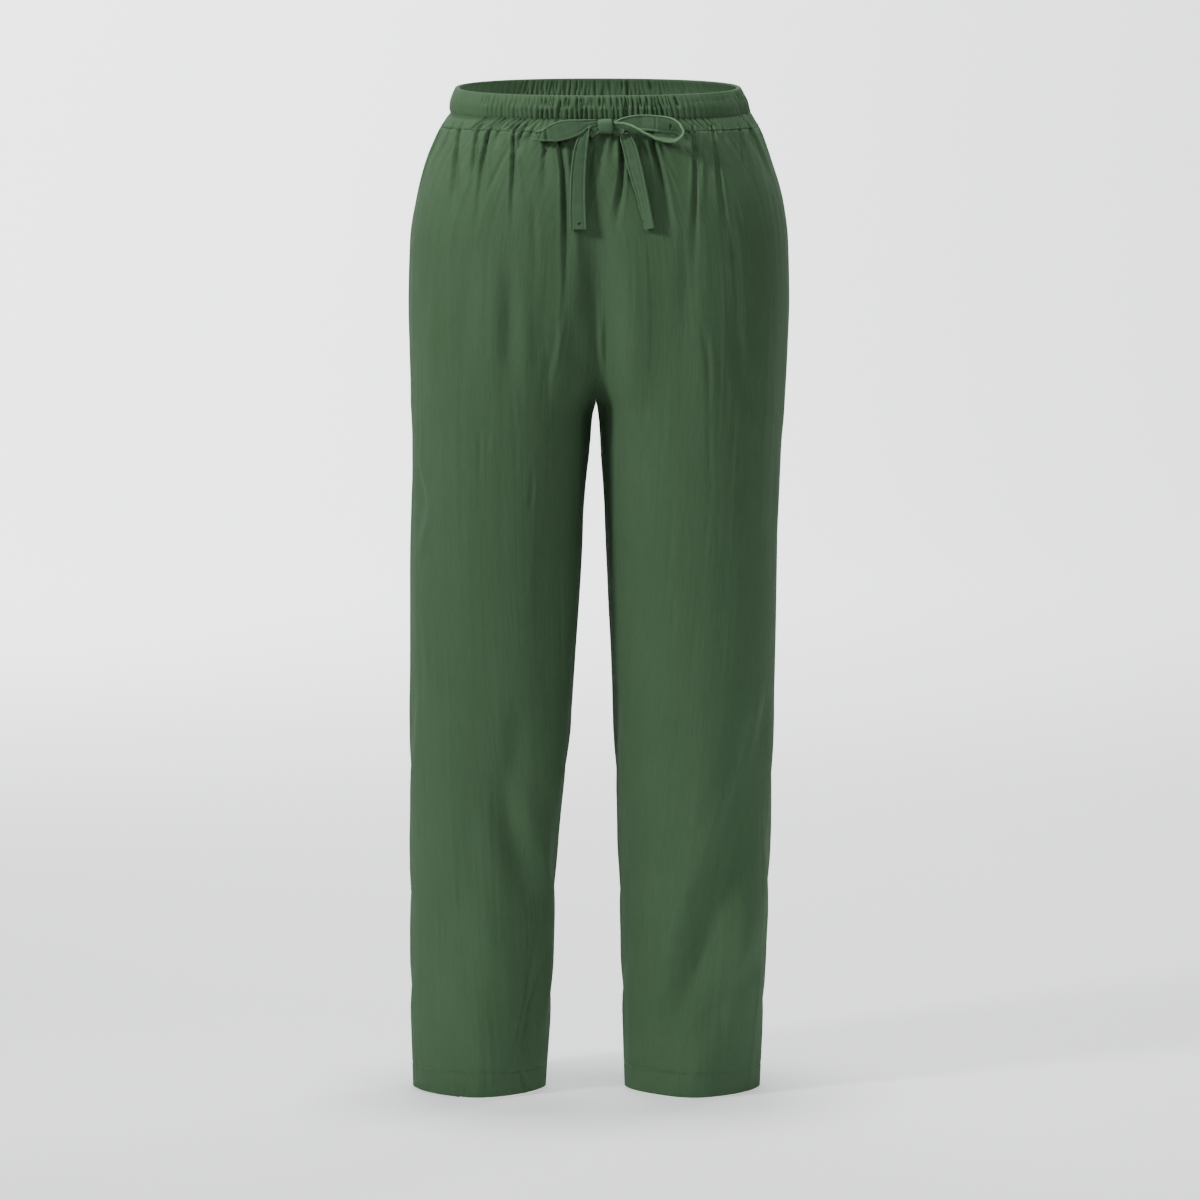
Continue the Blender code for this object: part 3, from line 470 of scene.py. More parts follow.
@dataclass(frozen=True)
class FoldField:
    """Works out how far cloth sinks under the folds, the fine crumple and the seams."""

    form: TrouserForm = FORM
    begin: float = 9.0
    top_fade: float = 9.0
    top_share: float = 0.6
    bottom_fade: float = 0.75
    crease_fade: float = 0.52
    narrow: float = 0.5
    broad: float = 1.35
    edge_rise: float = 0.3
    edge_off: float = 1.9
    edge_wide: float = 0.85
    facing: Range = (0.12, 0.5)
    crumple_count: int = 190
    crumple_seed: int = 41
    crumple_middle: Range = (60.0, 970.0)
    crumple_half_long: Range = (30.0, 120.0)
    crumple_wide: Range = (1.3, 3.6)
    crumple_sink: Range = (-0.6, 0.6)
    crumple_slant: Range = (-0.05, 0.05)
    crumple_from_seam: float = 9.0
    gather_seed: int = 77
    gather_apart: Range = (3.2, 8.5)
    gather_long: Range = (16.0, 90.0)
    gather_wide: Range = (1.0, 2.0)
    gather_sink: Range = (-0.7, 1.7)
    gather_slant: Range = (-0.06, 0.06)
    gather_holds: float = 0.2
    gather_widens: float = 60.0
    seam_sink: float = 0.9
    seam_wide: float = 1.7
    seam_starts: float = 20.0
    centre_share: float = 0.1

    def hangs(self, fold: Fold) -> bool:
        """Whether a fold is a gather that hangs from the channel's seam."""
        return fold.top < self.form.band_deep + self.top_fade

    def lengthwise(self, fold: Fold, depth: Array) -> Array:
        """A fold's share of its full depth along its length."""
        length, last, edge = fold.end - fold.top, self.bottom_fade, self.form.band_deep
        if self.hangs(fold):
            begins = self.top_share * fade(depth, fold.top, fold.top + self.begin)
            begins += (1 - self.top_share) * fade(depth, edge, edge + self.top_fade)
        else:
            last = self.crease_fade
            begins = fade(depth, fold.top, fold.top + last * length)
        return begins * (1 - fade(depth, fold.end - last * length, fold.end))

    def spread(self, fold: Fold, depth: Array) -> Array:
        """A fold's width along its length, as a share: gathers are narrow where they are sewn in."""
        if not self.hangs(fold):
            return np.ones_like(depth)
        return self.narrow + (self.broad - self.narrow) * fade(depth, self.form.band_deep, fold.end)

    def of_folds(self, points: Array, normals: Array, table: Sequence[Fold]) -> Array:
        """Sinks of a table of folds over a grid of points with their normals."""
        depth = -points[..., 2]
        sunk = np.zeros_like(depth)
        for fold in table:
            direction, axis = fold.face.value
            weight = fade(normals[..., 0] * direction[0] + normals[..., 1] * direction[1], *self.facing)
            places = [fold.top_x, fold.middle_x, fold.end_x]
            way = smooth_curve(depth, [fold.top, fold.middle, fold.end], places)
            slant = (fold.end_x - fold.top_x) / (fold.end - fold.top)
            off = (points[..., axis] - way) / math.sqrt(1 + slant**2)
            off = off / (fold.wide * self.spread(fold, depth))
            off = off / (1 + fold.lean * np.tanh(off))
            hump = cleft(off) if fold.sink > 0 and self.hangs(fold) else bell(off)
            shape = hump - self.edge_rise * bell((np.abs(off) - self.edge_off) / self.edge_wide)
            sunk += fold.sink * weight * self.lengthwise(fold, depth) * shape
        return sunk

    def crumple(self, patch: Patch) -> Array:
        """How far each point sinks into fine upright creases, uneven in place, length and depth."""
        arc, depth, seed = patch
        draw = np.random.default_rng(self.crumple_seed + seed)
        sunk, widest = np.zeros_like(arc), float(arc.max())
        for _ in range(self.crumple_count):
            place, middle = draw.uniform(0.0, widest), draw.uniform(*self.crumple_middle)
            half_long, wide = draw.uniform(*self.crumple_half_long), draw.uniform(*self.crumple_wide)
            sink, slant = draw.uniform(*self.crumple_sink), draw.uniform(*self.crumple_slant)
            down = depth - middle
            sunk += sink * bell(down / half_long) * bell((arc - place - slant * down) / wide)
        from_seam = np.minimum(arc, arc.max(axis=1, keepdims=True) - arc)
        return sunk * fade(from_seam, 0.0, self.crumple_from_seam)

    def fine_gathers(self, patch: Patch) -> Array:
        """How far each point sinks into small gathers that hang from the channel's seam and soon die away."""
        arc, depth, seed = patch
        draw = np.random.default_rng(self.gather_seed + seed)
        down, sunk = depth - self.form.band_deep, np.zeros_like(arc)
        place = draw.uniform(*self.gather_apart)
        while place < float(arc[0].max()):
            long, wide = draw.uniform(*self.gather_long), draw.uniform(*self.gather_wide)
            sink, slant = draw.uniform(*self.gather_sink), draw.uniform(*self.gather_slant)
            shape = cleft((arc - place - slant * down) / (wide * (1 + down / self.gather_widens)))
            ends = 1 - fade(down, self.gather_holds * long, long)
            sunk += sink * shape * fade(down, 0.0, self.top_fade) * ends
            place += draw.uniform(*self.gather_apart)
        return sunk

    def seams(self, patch: Patch) -> Array:
        """The roll of the cloth into a panel's outseam and inseam, and slightly into its centre seam."""
        far = patch.arc.max(axis=1, keepdims=True) - patch.arc
        starts = fade(patch.depth, self.form.crotch, self.form.crotch + self.seam_starts)
        inner = self.centre_share + (1 - self.centre_share) * starts
        return self.seam_sink * (bell(patch.arc / self.seam_wide) + inner * bell(far / self.seam_wide))


# ---- node trees and finishes ----


def linear(hex_colour: str) -> tuple[float, float, float, float]:
    """Turns an sRGB hex colour such as #4E6B4D into linear RGBA."""
    parts = [int(hex_colour[place : place + 2], 16) / 255 for place in (1, 3, 5)]
    return (*(part / 12.92 if part <= 0.04045 else ((part + 0.055) / 1.055) ** 2.4 for part in parts), 1.0)


def set_node(tree: bpy.types.NodeTree, node: bpy.types.Node, given: Given) -> None:
    """Sets a node's properties by name, and its inputs by name or number, to a value or a socket to join."""
    for name, value in given.items():
        if isinstance(name, str) and name in node.bl_rna.properties:
            setattr(node, name, value)
        elif isinstance(value, bpy.types.NodeSocket):
            tree.links.new(value, node.inputs[name])
        else:
            node.inputs[name].default_value = value


def add_node(tree: bpy.types.NodeTree, kind: str, given: Optional[Given] = None) -> bpy.types.Node:
    """Adds a node of this kind to a tree and sets it up with set_node."""
    node = tree.nodes.new(kind)
    set_node(tree, node, given or {})
    return node


def new_material(name: str) -> tuple[bpy.types.Material, bpy.types.NodeTree, bpy.types.Node]:
    """A new material, its node tree and its shader."""
    material = bpy.data.materials.new(name)
    material.use_nodes = True
    return material, material.node_tree, material.node_tree.nodes["Principled BSDF"]


@dataclass(frozen=True)
class LinenFinish:
    """Garment-washed plain-woven linen: matt, with slubby threads, faint mottling and soft crumple.

    Threads lie 0.55 mm apart. Slubs, the thick stretches of a thread, are drawn about 1.2 mm wide, twice
    their real width, so that they still show. The pattern follows the cloth's own UV map, in metres. A
    tape's edges get a painted highlight, a paler colour that stands in for the light caught by their rims,
    where that colour is given: its UV counts from the edge, where it is TAPE_EDGE.
    A field whose name ends in _bump is a rise in metres.
    """

    name: str
    base: str
    pale: str
    dark: str
    thread: float = 0.55
    thread_scale: float = 0.314
    slub_wide: float = 1.2
    slub_long: float = 22.0
    mottle: float = 55.0
    crumple_wide: float = 5.0
    crumple_long: float = 80.0
    roughness: float = 0.9
    specular: float = 0.1
    weave_bump: float = 0.00004
    slub_bump: float = 0.00006
    weft_share: float = 0.3
    # painted highlight: a paler colour for a tape's edges, standing in for the light that catches their rims
    edge_highlight: Optional[str] = None
    edge_highlight_wide: float = 1.5
    crumple_bump: float = 0.0006

    def streaks(self, tree: bpy.types.NodeTree, place: Any, wide: float, long: float) -> Any:
        """A noise drawn out along one direction of the cloth, as threads or creases are.

        Args:
            tree: The material's node tree.
            place: The socket that gives the place on the cloth, in metres.
            wide: Size of a streak across the cloth.
            long: Its size down the cloth.

        Returns:
            The socket with the streaks' value.
        """
        scale = (1 / (wide * MM), 1 / (long * MM), 1.0)
        stretched = add_node(tree, "ShaderNodeMapping", {"Scale": scale, "Vector": place}).outputs["Vector"]
        noise = {"Scale": 1.0, "Detail": 2.0, "Roughness": 0.55, "Vector": stretched}
        return add_node(tree, "ShaderNodeTexNoise", noise).outputs["Fac"]

    def threads(self, tree: bpy.types.NodeTree, place: Any, direction: str) -> Any:
        """The regular rise and fall of one thread system."""
        return add_node(tree, "ShaderNodeTexWave", {
            "wave_type": "BANDS", "bands_direction": direction, "Distortion": 1.2, "Detail": 1.0,
            "Detail Scale": 0.4, "Scale": self.thread_scale / (self.thread * MM), "Vector": place,
        }).outputs["Fac"]

    def blend(self, tree: bpy.types.NodeTree, share: Any, low: Any, high: Any, spread: Range) -> Any:
        """Mixes two colours.

        Args:
            tree: The material's node tree.
            share: The socket that decides.
            low: Colour or socket where it is at the spread's first value or below.
            high: Colour or socket where it is at the last or above.
            spread: Where the blend starts and ends.

        Returns:
            The colour socket.
        """
        within = {"From Min": spread[0], "From Max": spread[1], "Value": share}
        part = add_node(tree, "ShaderNodeMapRange", within).outputs[0]
        return add_node(tree, "ShaderNodeMix", {"data_type": "RGBA", 0: part, 6: low, 7: high}).outputs[2]

    def bumps(self, tree: bpy.types.NodeTree, layers: Sequence[tuple[Any, float]]) -> Any:
        """Stacks bump nodes, each a height socket with its rise in metres, and returns the last normal."""
        below = {}
        for height, rise in layers:
            given = {"Strength": 1.0, "Distance": rise, "Height": height, **below}
            below = {"Normal": add_node(tree, "ShaderNodeBump", given).outputs["Normal"]}
        return below["Normal"]

    def make(self) -> bpy.types.Material:
        """Builds the material."""
        material, tree, shader = new_material(self.name)
        place = add_node(tree, "ShaderNodeTexCoord").outputs["UV"]
        warp = self.streaks(tree, place, self.slub_wide, self.slub_long)
        weft = self.streaks(tree, place, self.slub_long, self.slub_wide)
        mottle = self.streaks(tree, place, self.mottle, self.mottle * 2)
        crumple = self.streaks(tree, place, self.crumple_wide, self.crumple_long)
        dark = linear(self.dark)
        colour = self.blend(tree, mottle, linear(self.base), linear(self.pale), (0.35, 0.75))
        colour = self.blend(tree, warp, dark, colour, (0.1, 0.55))
        colour = self.blend(tree, weft, dark, colour, (-0.1, 0.42))
        # painted highlight: the tape's edges are coloured paler where light would catch their rims
        if self.edge_highlight:
            across = add_node(tree, "ShaderNodeSeparateXYZ", {"Vector": place}).outputs["X"]
            within = add_node(tree, "ShaderNodeMath", {"operation": "ABSOLUTE", 0: across}).outputs[0]
            rubbed = (TAPE_EDGE * MM, TAPE_EDGE * MM + self.edge_highlight_wide * MM)
            colour = self.blend(tree, within, linear(self.edge_highlight), colour, rubbed)
        layers = [(crumple, self.crumple_bump), (warp, self.slub_bump)]
        layers.append((weft, self.slub_bump * self.weft_share))
        layers += [(self.threads(tree, place, way), self.weave_bump) for way in "XY"]
        set_node(tree, shader, {
            "Base Color": colour, "Normal": self.bumps(tree, layers), "Roughness": self.roughness,
            "Specular IOR Level": self.specular,
        })
        return material


@dataclass(frozen=True)
class ThreadFinish:
    """Polyester-cotton sewing thread, spun and dyed to match: a little smoother and deeper than the cloth."""

    name: str = "dyed_sewing_thread"
    colour: str = "#435D43"
    shade: str = "#344B35"
    twist: float = 0.5
    roughness: float = 0.6

    def make(self) -> bpy.types.Material:
        """Builds the material, with a fine variation of tone from twist to twist."""
        material, tree, shader = new_material(self.name)
        place = add_node(tree, "ShaderNodeTexCoord").outputs["Object"]
        noise = add_node(tree, "ShaderNodeTexNoise", {"Scale": 1 / (self.twist * MM), "Vector": place})
        tones = {6: linear(self.shade), 7: linear(self.colour)}
        mix = add_node(tree, "ShaderNodeMix", {"data_type": "RGBA", 0: noise.outputs["Fac"], **tones})
        set_node(tree, shader, {"Base Color": mix.outputs[2], "Roughness": self.roughness})
        return material


# ---- meshes ----


def place_object(name: str, data: Any) -> bpy.types.Object:
    """Links a new object that shows this data."""
    made = bpy.data.objects.new(name, data)
    bpy.context.scene.collection.objects.link(made)
    return made


def new_mesh(name: str, points: Array, edges: Sequence, faces: Sequence) -> bpy.types.Mesh:
    """A new mesh in metres, from points in millimetres."""
    mesh = bpy.data.meshes.new(name)
    mesh.from_pydata((points * MM).tolist(), edges, faces)
    return mesh


def make_object(
    name: str, points: Array, faces: Sequence[tuple[int, ...]], material: bpy.types.Material,
    places: Optional[Array] = None,
) -> bpy.types.Object:
    """Makes a smooth-shaded object in metres.

    Args:
        name: The piece's name.
        points: Its points.
        faces: Point numbers of each face.
        material: Its finish.
        places: Where each point lies on the flat cloth, for the UV map.

    Returns:
        The linked object, at the origin.
    """
    mesh = new_mesh(name, points.reshape(-1, 3), [], faces)
    if places is not None:
        corners = np.empty(len(mesh.loops), np.int32)
        mesh.loops.foreach_get("vertex_index", corners)
        layer = mesh.uv_layers.new(name="cloth")
        layer.data.foreach_set("uv", (places.reshape(-1, 2)[corners] * MM).astype(np.float32).ravel())
    mesh.validate()
    mesh.shade_smooth()
    mesh.materials.append(material)
    return place_object(name, mesh)


class Ends(Enum):
    """How a closed grid's first and last rows are finished."""

    OPEN = 0
    JOINED = 1
    CAPPED = 2


def grid_faces(
    rows: int, columns: int, flip: bool, closed: bool = False, ends: Ends = Ends.OPEN
) -> list[tuple[int, ...]]:
    """Faces of a grid of points.

    Args:
        rows: How many rows it has.
        columns: How many columns.
        flip: Whether the faces are turned over.
        closed: Whether each row runs round, back to its first point.
        ends: How the first and last rows are finished.

    Returns:
        Point numbers of each face.
    """
    faces = []
    for row in range(rows if ends is Ends.JOINED else rows - 1):
        below = (row + 1) % rows * columns
        for column in range(columns if closed else columns - 1):
            after = (column + 1) % columns
            a, b, c, d = row * columns + column, row * columns + after, below + column, below + after
            faces.append((a, c, d, b) if flip else (a, b, d, c))
    if ends is Ends.CAPPED:
        first, last = range(columns), range((rows - 1) * columns, rows * columns)
        faces += [tuple(first), tuple(last[::-1])] if flip else [tuple(first[::-1]), tuple(last)]
    return faces


def apply_modifiers(made: bpy.types.Object) -> None:
    """Turns an object's modifiers into its plain mesh."""
    graph = bpy.context.evaluated_depsgraph_get()
    mesh = bpy.data.meshes.new_from_object(made.evaluated_get(graph))
    old = made.data
    made.modifiers.clear()
    made.data = mesh
    bpy.data.meshes.remove(old)
    mesh.name = made.name


def add_wall(made: bpy.types.Object, thick: float) -> None:
    """Gives a sheet its wall, inwards from the side that it faces, and applies it."""
    wall = made.modifiers.new("Wall", "SOLIDIFY")
    wall.thickness = thick * MM
    wall.offset = -1.0
    wall.use_even_offset = False
    apply_modifiers(made)


# ---- the cloth's pieces ----


@dataclass
class LegPanels:
    """The four trouser panels: cloth with its gathers, creases, rolled seams and turned-up hem.

    A row of hem_rows says how far above the hem's edge and how far inside the outer cloth it lies.
    """

    finish: LinenFinish
    form: TrouserForm = FORM
    folds: FoldField = FoldField()
    columns: int = 165
    edge_turn: float = 0.0006
    gather_step: float = 1.8
    leg_step: float = 5.5
    gathers_end: float = 130.0
    cloth: float = 0.7
    turning: float = 5.0
    tuck_in: float = 0.5
    tuck_ends: float = 0.2
    hem_deep: float = 24.0
    hem_clear: float = 4.0
    hem_steps: tuple = (-3.0, -1.8, -0.9, 0.0, 0.9, 1.8, 3.0, 6.0, 10.0, 15.0, 20.0)
    hem_rows: tuple = (
        (0.3, 0.15), (0.0, 0.7), (0.0, 1.4), (0.3, 1.9), (4.0, 2.0), (12.0, 2.0), (22.0, 1.9), (24.0, 1.3),
    )
    hem_flat_step: float = 3.0
    stitch_sink: float = 0.5
    stitch_wide: float = 1.3
    outer: dict = field(default_factory=dict)

    def depths(self) -> Array:
        """Rows from the channel's seam down to just above the hem's edge, closer where gathers hang."""
        hem = self.form.length - self.hem_deep
        top = np.arange(self.form.band_deep - self.tuck_in, self.gathers_end, self.gather_step)
        leg = np.arange(self.gathers_end, hem - self.hem_clear, self.leg_step)
        return np.concatenate([top, leg, hem + np.array(self.hem_steps)])

    def parts(self) -> tuple[slice, slice]:
        """The columns of a half's front and of its back."""
        return slice(0, self.columns + 1), slice(self.columns + 1, None)

    def half(self, side: Side) -> tuple[Array, Array, Array]:
        """A half's outer cloth, front and back together.

        Args:
            side: Which half.

        Returns:
            Its points, the distance from the outseam, rising backwards, and the depths, as grids.
        """
        evenly = np.linspace(self.edge_turn, 0.5 - self.edge_turn, self.columns - 1)
        front = np.concatenate([[0.0], evenly, [0.5 - TINY]])
        depth, turn = np.meshgrid(self.depths(), np.concatenate([front, 1 - front[::-1]]), indexing="ij")
        smooth = self.form.points(side, turn, depth)
        normals, arc = normals_of(smooth, -side.value), arc_along(smooth)
        arc -= arc[:, self.columns : self.columns + 1]
        sunk = self.folds.of_folds(smooth, normals, GATHERS) + self.folds.of_folds(smooth, normals, CREASES)
        for number, part in enumerate(self.parts()):
            patch = Patch(np.abs(arc[:, part]), depth[:, part], 10 * number + side.value)
            sunk[:, part] += self.folds.crumple(patch) + self.folds.seams(patch)
            sunk[:, part] += self.folds.fine_gathers(patch)
        edge = self.form.band_deep
        sunk += self.stitch_sink * bell((depth - (self.form.length - self.hem_deep)) / self.stitch_wide)
        sunk += self.tuck_in * (1 - fade(depth, edge - self.tuck_in, edge + self.tuck_ends))
        moved = self.form.close_seams(smooth - normals * sunk[..., None], smooth, side)
        return self.form.round_valley(moved, side, depth), arc, depth

    def with_edges(self, points: Array, normals: Array, arc: Array) -> tuple[Array, Array]:
        """Adds the turned-up hem below a panel's cloth and the seam turnings at its edges.

        Args:
            points: The panel's points.
            normals: Their outward normals.
            arc: Distance across.

        Returns:
            All its points, and their places on the flat cloth.
        """
        bottom, deepest = points[-1], float(self.depths()[-1])
        rows, places = [points], [np.stack([arc, -points[..., 2]], axis=-1)]
        for number, (above, inside) in enumerate(self.hem_rows):
            drop = self.form.length - above - deepest
            rows.append((bottom - normals[-1] * inside - [0.0, 0.0, drop])[None])
            places.append(places[0][-1:] + [0.0, self.hem_flat_step * (number + 1)])
        points, places = np.concatenate(rows), np.concatenate(places)
        turn_in = np.concatenate([normals, np.repeat(normals[-1:], len(self.hem_rows), axis=0)])
        turn_in *= self.turning
        beside = np.array([self.turning, 0.0])
        edges = points[:, :1] - turn_in[:, :1], points, points[:, -1:] - turn_in[:, -1:]
        flat_edges = places[:, :1] - beside, places, places[:, -1:] + beside
        return np.concatenate(edges, axis=1), np.concatenate(flat_edges, axis=1)

    def lay_out(self) -> None:
        """Works out the outer cloth of both halves, which meet along the centre seams."""
        halves, arcs = {}, {}
        for side in Side:
            halves[side], arcs[side], depth = self.half(side)
        self.form.meet(halves, depth)
        for side, points in halves.items():
            self.outer[side] = (points, normals_of(points, -side.value), arcs[side])

    def build(self, side: Side) -> list[bpy.types.Object]:
        """Builds a half's front and back panels.

        Args:
            side: Which half.

        Returns:
            The two panels.
        """
        made = []
        for name, part in zip(("front", "back"), self.parts()):
            cloth, places = self.with_edges(*(grid[:, part] for grid in self.outer[side]))
            faces = grid_faces(*cloth.shape[:2], side is Side.LEFT)
            panel = make_object(f"linen_{name}_panel_{side.hand}", cloth, faces, self.finish.make(), places)
            add_wall(panel, self.cloth)
            made.append(panel)
        return made

    def hem_line(self, side: Side, lift: float) -> Array:
        """The closed line of a hem's stitching, just off the cloth."""
        points, normals, _arc = self.outer[side]
        row = nearest(self.depths(), self.form.length - self.hem_deep)
        return points[row] + normals[row] * lift


@dataclass
class Waistband:
    """The elastic casing and the drawstring channel below it, gathered along two stitched lines.

    A row of its gathers says between which distances round it from the centre front they lie, then their
    count, sink, width and slant.
    """

    finish: LinenFinish
    form: TrouserForm = FORM
    folds: FoldField = FoldField()
    front_columns: int = 380
    back_columns: int = 250
    wall: float = 5.0
    rim: float = 1.4
    rim_angles: tuple = (30.0, 60.0, 90.0, 120.0, 150.0)
    rim_flat: float = 0.6
    seed: int = 12
    stitch_sink: float = 0.6
    stitch_wide: float = 0.9
    lower_stitch: float = 36.6
    roll: float = 0.1
    depths: tuple = (
        0.9, 1.8, 3, 4.6, 6.2, 7.8, 9.4, 11, 12.6, 14.2, 15.8, 17.4, 19, 20.4, 21.6, 22.6, 23.4, 24, 24.5, 25,
        25.6, 26.4, 27.6, 29, 30.4, 31.8, 33.2, 34.4, 35.4, 36.1, 36.6, 37.1, 37.6, 38,
    )
    inner_depths: tuple = (1.2, 3, 5, 7, 9, 11, 13, 15, 17, 19, 22, 24.5, 28, 33, 38)
    top_ribs: tuple = (
        (-175, -122, 11, 0.5, 0.8, 0), (-122, -60, 15, 2.0, 0.75, 0), (-60, 88, 38, 4.8, 0.8, 0),
        (88, 160, 12, 0.8, 0.8, 0), (160, 620, 96, 2.0, 0.9, 0),
    )
    low_ribs: tuple = (
        (-175, -112, 13, 0.7, 0.8, 0), (-112, -60, 11, 3.0, 0.85, 0.05), (-60, 70, 26, 5.0, 0.85, 0),
        (70, 104, 6, 2.4, 0.8, 0), (104, 160, 7, 0.5, 0.8, 0), (160, 620, 84, 2.8, 0.95, 0),
    )
    channel: tuple = (
        (-175, -118, 8, 0.5, 1.1, -0.4), (-118, -54, 11, 4.6, 0.9, -0.75), (-54, 80, 20, 2.8, 0.9, 0),
        (80, 116, 6, 3.0, 0.85, 0.6), (116, 160, 7, 0.5, 0.9, 0.2), (160, 620, 62, 1.3, 1.0, 0.15),
    )
    place_within: Range = (0.25, 0.75)
    sink_varies: Range = (0.45, 1.15)
    wide_varies: Range = (0.75, 1.35)
    slant_varies: Range = (-0.08, 0.08)
    at_rim: float = 0.35
    rim_ends: Range = (1.0, 6.0)
    top_ends: Range = (9.0, 14.0)
    low_starts: Range = (5.0, 16.0)
    channel_starts: Range = (-0.6, 1.2)
    channel_eases: Range = (31.0, 38.0)
    channel_loses: float = 0.6
    hanging_starts: Range = (1.0, 4.0)
    inside_shift: float = 3.1
    join_before_back: float = 24.0
    join_rise: float = 1.5
    join_wide: float = 1.3
    top_stitch_from: float = 84.0
    top_stitch_below: float = 6.2
    top_stitch_sink: float = 0.3
    outer: Optional[Array] = None
    arc: Optional[Array] = None

    def ring(self, depths: Sequence[float]) -> Array:
        """Closed rings of the smooth form at these depths, from the centre front over the wearer's left."""
        depth = np.asarray(depths, float)[:, None]
        front = np.linspace(0.0, 0.5 - TINY, self.front_columns, endpoint=False)
        back = np.linspace(0.5 + TINY, 1.0, self.back_columns, endpoint=False)
        left = np.concatenate([front, back])[None, :]
        turns = ((Side.LEFT, left), (Side.RIGHT, 1 - left))
        return np.concatenate([self.form.points(side, turn, depth) for side, turn in turns], axis=1)

    def outward(self, rings: Array) -> Array:
        """Level directions away from the middle of the waist."""
        return unit((rings - [self.form.centre_plane, 0.0, 0.0]) * [1.0, 1.0, 0.0])

    def grooves(self, zones: Rows, arc: Array, girth: float, depth: Array, seed: int) -> Array:
        """How far the cloth sinks into the gathers of a strip.

        Args:
            zones: Its gathers, with the places that they have at the casing's seam.
            arc: Distance round of each column.
            girth: The whole way round.
            depth: Depth of each row.
            seed: A number of the strip's own.

        Returns:
            A grid of sinks, with a row for each depth.
        """
        draw = np.random.default_rng(self.seed + seed)
        sunk = np.zeros((len(depth), len(arc)))
        for start, end, count, sink, wide, slant in zones:
            for number in range(count):
                place = start + (end - start) / count * (number + draw.uniform(*self.place_within))
                own_sink = sink * draw.uniform(*self.sink_varies)
                own_wide = wide * draw.uniform(*self.wide_varies)
                way = place + (slant + draw.uniform(*self.slant_varies)) * (depth - self.form.casing_deep)
                off = (arc[None, :] - way[:, None] + girth / 2) % girth - girth / 2
                sunk += own_sink * cleft(off / own_wide)
        return sunk

    def relief(self, depth: Array, arc: Array, girth: float) -> Array:
        """The sinks of the whole outside.

        Args:
            depth: Depth of each row.
            arc: Distance round of each column.
            girth: The whole way round.

        Returns:
            A grid with the gathers of all strips and the lines sewn across them.
        """
        casing = self.form.casing_deep
        top = self.at_rim + (1 - self.at_rim) * fade(depth, *self.rim_ends)
        top *= 1 - fade(depth, *self.top_ends)
        low = fade(depth, *self.low_starts) * (depth < casing)
        channel = fade(depth, *(casing + down for down in self.channel_starts))
        channel *= 1 - self.channel_loses * fade(depth, *self.channel_eases)
        sunk = np.zeros((len(depth), len(arc)))
        strips = ((self.top_ribs, top), (self.low_ribs, low), (self.channel, channel))
        for seed, (zones, share) in enumerate(strips):
            sunk += self.grooves(zones, arc, girth, depth, seed) * share[:, None]
        sunk += (self.stitch_sink * bell((depth - casing) / self.stitch_wide))[:, None]
        sewn = bell((depth - self.top_stitch_below) / self.stitch_wide)[:, None]
        return sunk + self.top_stitch_sink * (sewn * (arc > self.top_stitch_from) * (arc < girth / 2))

    def build(self) -> bpy.types.Object:
        """Builds the band as one closed loop: outside, rolled top edge, inside and lower edge."""
        depth, inner_depth = np.array(self.depths), np.array(self.inner_depths)
        rings, inner_rings = self.ring(depth), self.ring(inner_depth)
        out, casing = self.outward(rings), self.form.casing_deep
        self.arc = arc = arc_along(self.ring([casing]))[0]
        girth = float(arc[-1] + (arc[1] - arc[0]))
        join = bell((arc - (girth / 2 - self.join_before_back)) / self.join_wide)
        hanging = self.folds.of_folds(rings, out, GATHERS)
        sunk = self.relief(depth, arc, girth)
        sunk += hanging * fade(depth, *(casing + down for down in self.hanging_starts))[:, None]
        sunk += (self.roll * fade(depth, self.lower_stitch, self.form.band_deep))[:, None]
        sunk += self.join_rise / 3 * join
        self.outer = rings - out * sunk[..., None]
        rim = []
        for angle in self.rim_angles:
            turn = math.radians(angle)
            inward = (1 - math.cos(turn)) * self.wall / 2 + sunk[0][:, None] * (1 - angle / 180)
            rim.append(rings[0] - out[0] * inward + [0.0, 0.0, math.sin(turn) * self.rim])
        inside = self.relief(inner_depth, (arc + self.inside_shift) % girth, girth) - self.join_rise * join
        inner = inner_rings - self.outward(inner_rings) * (self.wall - inside)[..., None]
        points = np.concatenate([inner[::-1], np.array(rim[::-1]), self.outer])
        over = np.linspace(self.rim_flat, -self.rim_flat, len(rim))
        down = np.concatenate([-inner_depth[::-1], over, depth])
        places = np.stack(np.broadcast_arrays(arc[None, :], down[:, None]), axis=-1)
        faces = grid_faces(*points.shape[:2], True, True, Ends.JOINED)
        return make_object("linen_waistband", points, faces, self.finish.make(), places)

    def sewn_line(self, depth: float, lift: float, start: float = 0.0, end: float = math.inf) -> Array:
        """The line at a depth on the gathered outside, lifted off the cloth, from start to end round it."""
        points = self.outer[nearest(self.depths, depth)]
        return (points + self.outward(points) * lift)[(self.arc >= start) & (self.arc <= end)]

    def sewn_path(self, path: Rows, lift: float) -> Array:
        """A line through places on the outside, each given as its distance round and its depth."""
        spots = [(nearest(self.depths, depth), nearest(self.arc, around)) for around, depth in path]
        points = np.array([self.outer[spot] for spot in spots])
        return points + self.outward(points) * lift


# ---- the drawstring ----


class Stretch(NamedTuple):
    """A stretch of the tape.

    A row of its route says x, depth, distance off the cloth and width, then the way across the tape where
    that isn't straight up. A row of its marks is a small dent (sink above 0) or ridge (below 0), as seen
    from the front: x, depth, half its width and length, sink and lean. The number after lay says by how
    much the stretch's painted edge highlight, a paler colour standing in for light on the rims, is narrower.
    """

    name: str
    far_end: str
    lay: str
    fresh: float
    route: Rows
    marks: Rows = ()


